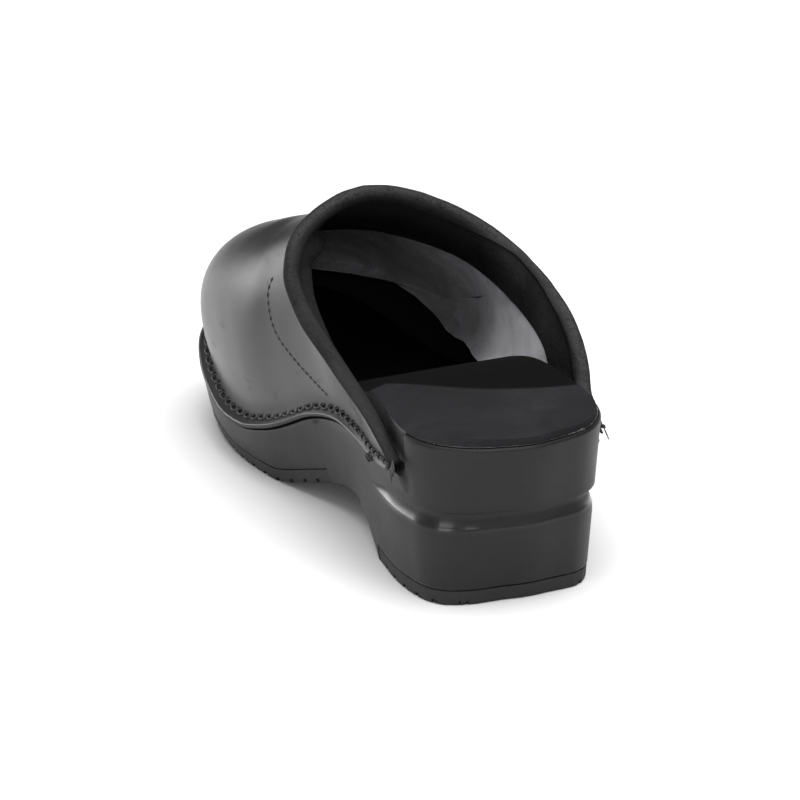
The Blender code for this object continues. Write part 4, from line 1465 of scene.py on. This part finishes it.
class CLOG_OT_lining(bpy.types.Operator):
    """Grey lining inside the vamp, below the band, with a ragged lower edge."""

    bl_idname = "clog.lining"
    bl_label = "Vamp lining"

    def execute(self, context):
        wall = context.scene.clog_sizes.lining_wall
        lines = wall_lines()
        last = len(lines) - 1
        known = np.linspace(0.004, max(line[1][-1] for line in lines), LINING_SAMPLES)
        normals = face_normals(lines, known)
        loops = []
        for index, line in enumerate(lines):
            place = index / last
            if LINING["place"][0] <= place <= LINING["place"][-1]:
                loops.append(self.section(line, place, known, normals[:, index], wall))
        bm = bmesh.new()
        rows = grid_faces(bm, loops, closed=True)
        bm.faces.new(rows[0])
        bm.faces.new(rows[-1][::-1])
        mesh = mesh_of("vamp_lining", bm, smooth_angle=SHARP_FROM)
        finish = lining_finish(context.scene.clog_colours)
        new_piece("vamp_lining", mesh, [finish], ())
        return {"FINISHED"}

    def section(self, line, place, known, normals, wall):
        """Loop down the lining's face to its torn edge and up again behind it."""
        ragged = LINING_RAGGED * ease(*RAGGED_FROM, place)
        edge = by_key(LINING["place"], LINING["reach"], place) * line[1][-1]
        edge += ragged * noise.noise(Vector((place * 34.0, 2.0, 0.0)))
        edge += 0.5 * ragged * noise.noise(Vector((place * 120.0, 7.0, 0.0)))
        loose = by_key(LINING["place"], LINING["loose"], place)
        face, back = [], []
        for step in range(LINING_STEPS + 1):
            share = step / LINING_STEPS
            way = lerp(LINING_TOP, edge, share)
            normal = read_off(way, known, normals)
            normal /= np.linalg.norm(normal)
            point = along_line(line, way)
            curl = loose * share ** 4
            puff = 0.00025 * noise.noise(Vector(point) * 90.0)
            face.append(point - normal * (LINING_SEAT + wall + curl + puff))
            back.append(point - normal * (LINING_SEAT + curl))
        return face + back[::-1]


class CLOG_OT_flange_stitching(bpy.types.Operator):
    """Chain of waxed loops round the foot of the upper, with a knot between loops."""

    bl_idname = "clog.flange_stitching"
    bl_label = "Flange stitching"

    def execute(self, context):
        sizes = context.scene.clog_sizes
        finish = thread_finish(context.scene.clog_colours)
        rows = np.linspace(FIRST_SECTION + 0.05, LAST_ROW, STITCH_SAMPLES)
        route = [self.seat(MEDIAL, row) for row in rows]
        route += [self.seat(LATERAL, row) for row in rows[-2::-1]]
        points = np.array([point for point, _ in route])
        normals = np.array([normal for _, normal in route])
        lengths = lengths_of(points)
        count = int(lengths[-1] // sizes.stitch_pitch)
        bm = bmesh.new()
        for index in range(count):
            distance = (index + 0.5) * lengths[-1] / count
            self.loop(bm, points, normals, lengths, distance, sizes, index)
        mesh = mesh_of("flange_stitching", bm, merge=1e-7)
        new_piece("flange_stitching", mesh, [finish], ())
        return {"FINISHED"}

    def seat(self, side, row):
        """A point of the chain's middle line and the way out of the leather there."""
        edge = flange_edge(side, row)
        foot = wall_foot(side, row)
        out = np.array([*outward(side, row), 0.0])
        normal = out * 0.55 + np.array([0.0, 0.0, 0.83])
        return lerp(edge, foot, CHAIN_PLACE) + normal * CHAIN_LIFT, normal

    def loop(self, bm, points, normals, lengths, distance, sizes, index):
        centre = read_off(distance, lengths, points)
        ahead = read_off(distance + LOOK_AHEAD, lengths, points)
        ahead -= read_off(distance - LOOK_AHEAD, lengths, points)
        ahead /= np.linalg.norm(ahead)
        normal = read_off(distance, lengths, normals)
        normal -= ahead * normal.dot(ahead)
        normal /= np.linalg.norm(normal)
        beside = np.cross(normal, ahead)
        turn = LOOP_TURN * noise.noise(Vector((index * 1.7, 0.0, 3.0)))
        grow = 1.0 + LOOP_GROWTH * noise.noise(Vector((index * 2.3, 5.0, 0.0)))
        length = sizes.stitch_length / 2 * grow - sizes.thread_radius
        width = sizes.stitch_width / 2 * grow - sizes.thread_radius * 0.5
        ring = []
        for step in range(LOOP_POINTS):
            angle = 2 * math.pi * step / LOOP_POINTS
            run = length * math.cos(angle)
            spread = width * math.sin(angle) + turn * run
            lift = sizes.thread_radius * (0.35 + 0.5 * math.cos(angle))
            ring.append(centre + ahead * run + beside * spread + normal * lift)
        tube(bm, ring, float(sizes.thread_radius), closed=True)
        knot = centre + ahead * sizes.stitch_pitch / 2
        self.knot(bm, knot, ahead, beside, normal, sizes.thread_radius)

    def knot(self, bm, centre, ahead, beside, normal, radius):
        """Short thick turn where one loop passes into the next."""
        line = []
        for step in range(7):
            share = step / 6 - 0.5
            bow = math.cos(share * math.pi)
            line.append(centre + beside * share * radius * 4.2
                        + ahead * share * radius * 1.4 + normal * radius * (0.2 + 1.1 * bow))
        tube(bm, line, [radius * part for part in (0.5, 0.9, 1.1, 1.2, 1.1, 0.9, 0.5)])


class CLOG_OT_vamp_seams(bpy.types.Operator):
    """Lockstitched seam across each side of the vamp, on a fine sunk line."""

    bl_idname = "clog.vamp_seams"
    bl_label = "Vamp seams"

    def execute(self, context):
        depth = context.scene.clog_sizes.dent_depth
        lines = wall_lines()
        bm = bmesh.new()
        for side in (lines, lines[::-1]):
            points, normals = self.route(side, depth)
            self.stitches(bm, points, normals)
        mesh = mesh_of("vamp_seams", bm, merge=1e-7)
        finish = thread_finish(context.scene.clog_colours)
        new_piece("vamp_seams", mesh, [finish], ())
        return {"FINISHED"}

    def route(self, lines, depth):
        """Points of the seam on the leather's face and the way out of it there."""
        last = len(lines) - 1
        points, normals = [], []
        for step in np.linspace(0.0, SEAM["step"][-1], SEAM_SAMPLES):
            place = by_step(SEAM["place"], step) * last
            reach = by_step(SEAM["reach"], step)
            index = int(place)
            here = along_line(lines[index], reach)
            there = along_line(lines[index + 1], reach)
            ahead = along_line(lines[index], reach + 0.002)
            normal = np.cross(there - here, ahead - here)
            if normal[0] * here[0] < 0.0:
                normal = -normal
            normal /= np.linalg.norm(normal)
            point = lerp(here, there, place - index)
            points.append(point + normal * depth * dent_at(point + PLACE))
            normals.append(normal)
        return np.array(points), np.array(normals)

    def stitches(self, bm, points, normals):
        lengths = lengths_of(points)

        def at(distance, lift):
            normal = read_off(distance, lengths, normals)
            return read_off(distance, lengths, points) + normal * lift

        shares = np.linspace(0.0, 1.0, 7)
        for index in range(int(lengths[-1] / SEAM_PITCH)):
            start = index * SEAM_PITCH
            line = [at(start + SEAM_STITCH * share,
                       SEAM_THREAD * (1.6 * math.sin(math.pi * share) - 0.9))
                    for share in shares]
            tube(bm, line, SEAM_THREAD)
        fine = np.linspace(0.0, lengths[-1], 150)
        tube(bm, [at(distance, 0.0) for distance in fine], SEAM_THREAD * 0.45, sides=4)


class CLOG_OT_thread_ends(bpy.types.Operator):
    """Frayed thread ends at the back of each side, and a loose knot on the medial flange."""

    bl_idname = "clog.thread_ends"
    bl_label = "Thread ends"

    def execute(self, context):
        bm = bmesh.new()
        for side, count in FIBRE_COUNTS:
            foot = wall_foot(side, FIRST_SECTION)
            edge = flange_edge(side, FIRST_SECTION)
            for index in range(count):
                start = lerp(edge, foot, 0.15 + 1.25 * index / count)
                self.fibre(bm, side, start, index)
        row = row_at(LOOSE_KNOT)
        edge = flange_edge(MEDIAL, row)
        out = np.array([*outward(MEDIAL, row), 0.0])
        for index in range(KNOT_STRANDS):
            wander = np.array([noise.noise(Vector((index * 1.9, axis * 4.0, 2.0)))
                               for axis in range(3)])
            centre = edge + out * 0.0006 + wander * 0.0014
            line = [centre + np.array([0.0, 0.0028, 0.0008]) * (share - 0.5)
                    + wander[::-1] * 0.003 * share * (1.0 - share)
                    for share in np.linspace(0.0, 1.0, 6)]
            tube(bm, line, FIBRE_RADIUS * 1.7)
        mesh = mesh_of("thread_ends", bm, merge=1e-7)
        finish = thread_finish(context.scene.clog_colours)
        new_piece("thread_ends", mesh, [finish], ())
        return {"FINISHED"}

    def fibre(self, bm, side, start, index):
        """One loose strand, hanging back and down from the end of the flange."""
        out = np.array([*outward(side, FIRST_SECTION), 0.0])
        sway = noise.noise(Vector((index * 3.1, 1.0, 0.0)))
        drop = 0.45 + 0.4 * noise.noise(Vector((index * 2.3, 9.0, 0.0)))
        away = 0.30 + 0.35 * sway if side == MEDIAL else 0.05 * sway
        heading = np.array([0.0, -1.0, -drop]) + out * away
        length = FIBRE_LENGTH if side == MEDIAL else FIBRE_LENGTH * 0.6
        length *= 1.0 + 0.45 * noise.noise(Vector((index * 5.7, 4.0, 0.0)))
        line = []
        for step in range(STRAND_STEPS + 1):
            share = step / STRAND_STEPS
            bend = 0.25 * length * share * share * np.array([sway, 0.0, -1.0])
            line.append(start + out * 0.0004 + heading * length * (share - 0.2) + bend)
        thin = [FIBRE_RADIUS * (1.0 - 0.5 * step / STRAND_STEPS)
                for step in range(STRAND_STEPS + 1)]
        tube(bm, line, thin, sides=5)


class CLOG_OT_cement(bpy.types.Operator):
    """Thin uneven bead of dried cement under the back edge of the insole."""

    bl_idname = "clog.cement"
    bl_label = "Cement line"

    def execute(self, context):
        rows = np.linspace(CEMENT_LAST_ROW, 0.0, CEMENT_SAMPLES)
        route = [(MEDIAL, row) for row in rows] + [(LATERAL, row) for row in rows[-2::-1]]
        line, radii = [], []
        for side, row in route:
            plan = inset_point(side, row, EDGE_ROUND + INSOLE_SETBACK * 0.85)
            point = np.array([*plan, profile("bed", plan[1]) + FIT_GAP])
            lump = noise.noise(Vector(point) * 260.0) + 0.6 * noise.noise(Vector(point) * 700.0)
            more = lerp(0.2, 1.0, ease(0.6, 2.0, row)) if side == LATERAL else 0.2
            line.append(point)
            radii.append(CEMENT_RADIUS * (0.08 + 0.35 * more + more * max(lump, 0.0)))
        bm = bmesh.new()
        tube(bm, line, radii)
        mesh = mesh_of("insole_cement", bm, merge=1e-7)
        new_piece("insole_cement", mesh, [glue_finish()], ())
        return {"FINISHED"}


class CLOG_OT_stage(bpy.types.Operator):
    """Pale floor, soft studio light and the camera at the photograph's angle."""

    bl_idname = "clog.stage"
    bl_label = "Stage"

    def execute(self, context):
        colours = context.scene.clog_colours
        context.scene.view_settings.view_transform = "Standard"
        self.floor(colours)
        self.surround(context)
        for name, place, aim, size, power in STUDIO_LIGHTS:
            self.panel_light(name, place, aim, size, power)
        self.flag()
        self.camera(context)
        return {"FINISHED"}

    def flag(self):
        """Dark card beyond the toe, which the glossy leather mirrors as a dark streak."""
        mesh = bpy.data.meshes.new("dark_card")
        wide, high, away = FLAG
        corners = [(-wide, away, 0.02), (2.0 * wide, away, 0.02), (2.0 * wide, away, high),
                   (-wide, away, high)]
        mesh.from_pydata(corners, [], [(0, 1, 2, 3)])
        finish = Finish("dark_card")
        mesh.materials.append(finish.finished(Base_Color=(0.01, 0.01, 0.01), Roughness=0.9))
        card = bpy.data.objects.new("dark_card", mesh)
        bpy.context.scene.collection.objects.link(card)

    def floor(self, colours):
        mesh = bpy.data.meshes.new("studio_floor")
        bm = bmesh.new()
        bmesh.ops.create_grid(bm, x_segments=1, y_segments=1, size=FLOOR_HALF)
        bm.to_mesh(mesh)
        bm.free()
        mesh.materials.append(floor_finish(colours))
        floor = bpy.data.objects.new("studio_floor", mesh)
        floor.location.z = FLOOR_DROP
        bpy.context.scene.collection.objects.link(floor)

    def surround(self, context):
        world = bpy.data.worlds.new("studio_air")
        world.use_nodes = True
        air = world.node_tree.nodes["Background"]
        air.inputs["Color"].default_value = (1.0, 1.0, 1.0, 1.0)
        air.inputs["Strength"].default_value = AIR_STRENGTH
        context.scene.world = world

    def panel_light(self, name, place, aim, size, power):
        light = bpy.data.lights.new(name, "AREA")
        light.shape = "RECTANGLE"
        light.size, light.size_y = size
        light.energy = power
        lamp = bpy.data.objects.new(name, light)
        lamp.location = place
        lamp.rotation_euler = (Vector(aim) - Vector(place)).to_track_quat("-Z", "Y").to_euler()
        bpy.context.scene.collection.objects.link(lamp)

    def camera(self, context):
        """Camera solved from the photograph: yaw, pitch and roll about the aimed point."""
        forward = Vector((math.sin(CAMERA_YAW) * math.cos(CAMERA_PITCH),
                          math.cos(CAMERA_YAW) * math.cos(CAMERA_PITCH),
                          -math.sin(CAMERA_PITCH)))
        level = Vector((math.cos(CAMERA_YAW), -math.sin(CAMERA_YAW), 0.0))
        upright = level.cross(forward)
        right = level * math.cos(CAMERA_ROLL) + upright * math.sin(CAMERA_ROLL)
        up = upright * math.cos(CAMERA_ROLL) - level * math.sin(CAMERA_ROLL)
        lens = bpy.data.cameras.new("photo_camera")
        lens.lens = CAMERA_LENS
        lens.clip_start = 0.05
        camera = bpy.data.objects.new("photo_camera", lens)
        turn = Matrix((right, up, -forward)).transposed()
        camera.matrix_world = Matrix.Translation(
            Vector(CAMERA_AIM) + Vector(PLACE) - forward * CAMERA_DISTANCE) @ turn.to_4x4()
        bpy.context.scene.collection.objects.link(camera)
        context.scene.camera = camera


class CLOG_PT_panel(bpy.types.Panel):
    """Lists the clog's pieces, sizes and colours."""

    bl_idname = "CLOG_PT_panel"
    bl_label = "Work clog"
    bl_space_type = "VIEW_3D"
    bl_region_type = "UI"
    bl_category = "Clog"

    def draw(self, context):
        for group in (context.scene.clog_sizes, context.scene.clog_colours):
            box = self.layout.box()
            for name in group.bl_rna.properties.keys():
                if name not in ("rna_type", "name"):
                    box.prop(group, name)
        for operator in OPERATORS:
            self.layout.operator(operator.bl_idname)


OPERATORS = (
    CLOG_OT_upper,
    CLOG_OT_collar,
    CLOG_OT_sole,
    CLOG_OT_treads,
    CLOG_OT_insole,
    CLOG_OT_lining,
    CLOG_OT_flange_stitching,
    CLOG_OT_vamp_seams,
    CLOG_OT_thread_ends,
    CLOG_OT_cement,
    CLOG_OT_stage,
)
CLASSES = (ClogColours, ClogSizes, *OPERATORS, CLOG_PT_panel)


def register():
    for made in CLASSES:
        bpy.utils.register_class(made)
    bpy.types.Scene.clog_colours = PointerProperty(type=ClogColours)
    bpy.types.Scene.clog_sizes = PointerProperty(type=ClogSizes)


def unregister():
    del bpy.types.Scene.clog_sizes
    del bpy.types.Scene.clog_colours
    for made in reversed(CLASSES):
        bpy.utils.unregister_class(made)


def main():
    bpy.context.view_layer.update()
    register()
    bpy.ops.clog.upper()
    bpy.ops.clog.collar()
    bpy.ops.clog.sole()
    bpy.ops.clog.treads()
    bpy.ops.clog.insole()
    bpy.ops.clog.lining()
    bpy.ops.clog.flange_stitching()
    bpy.ops.clog.vamp_seams()
    bpy.ops.clog.thread_ends()
    bpy.ops.clog.cement()
    bpy.ops.clog.stage()


if __name__ == "__main__":
    main()
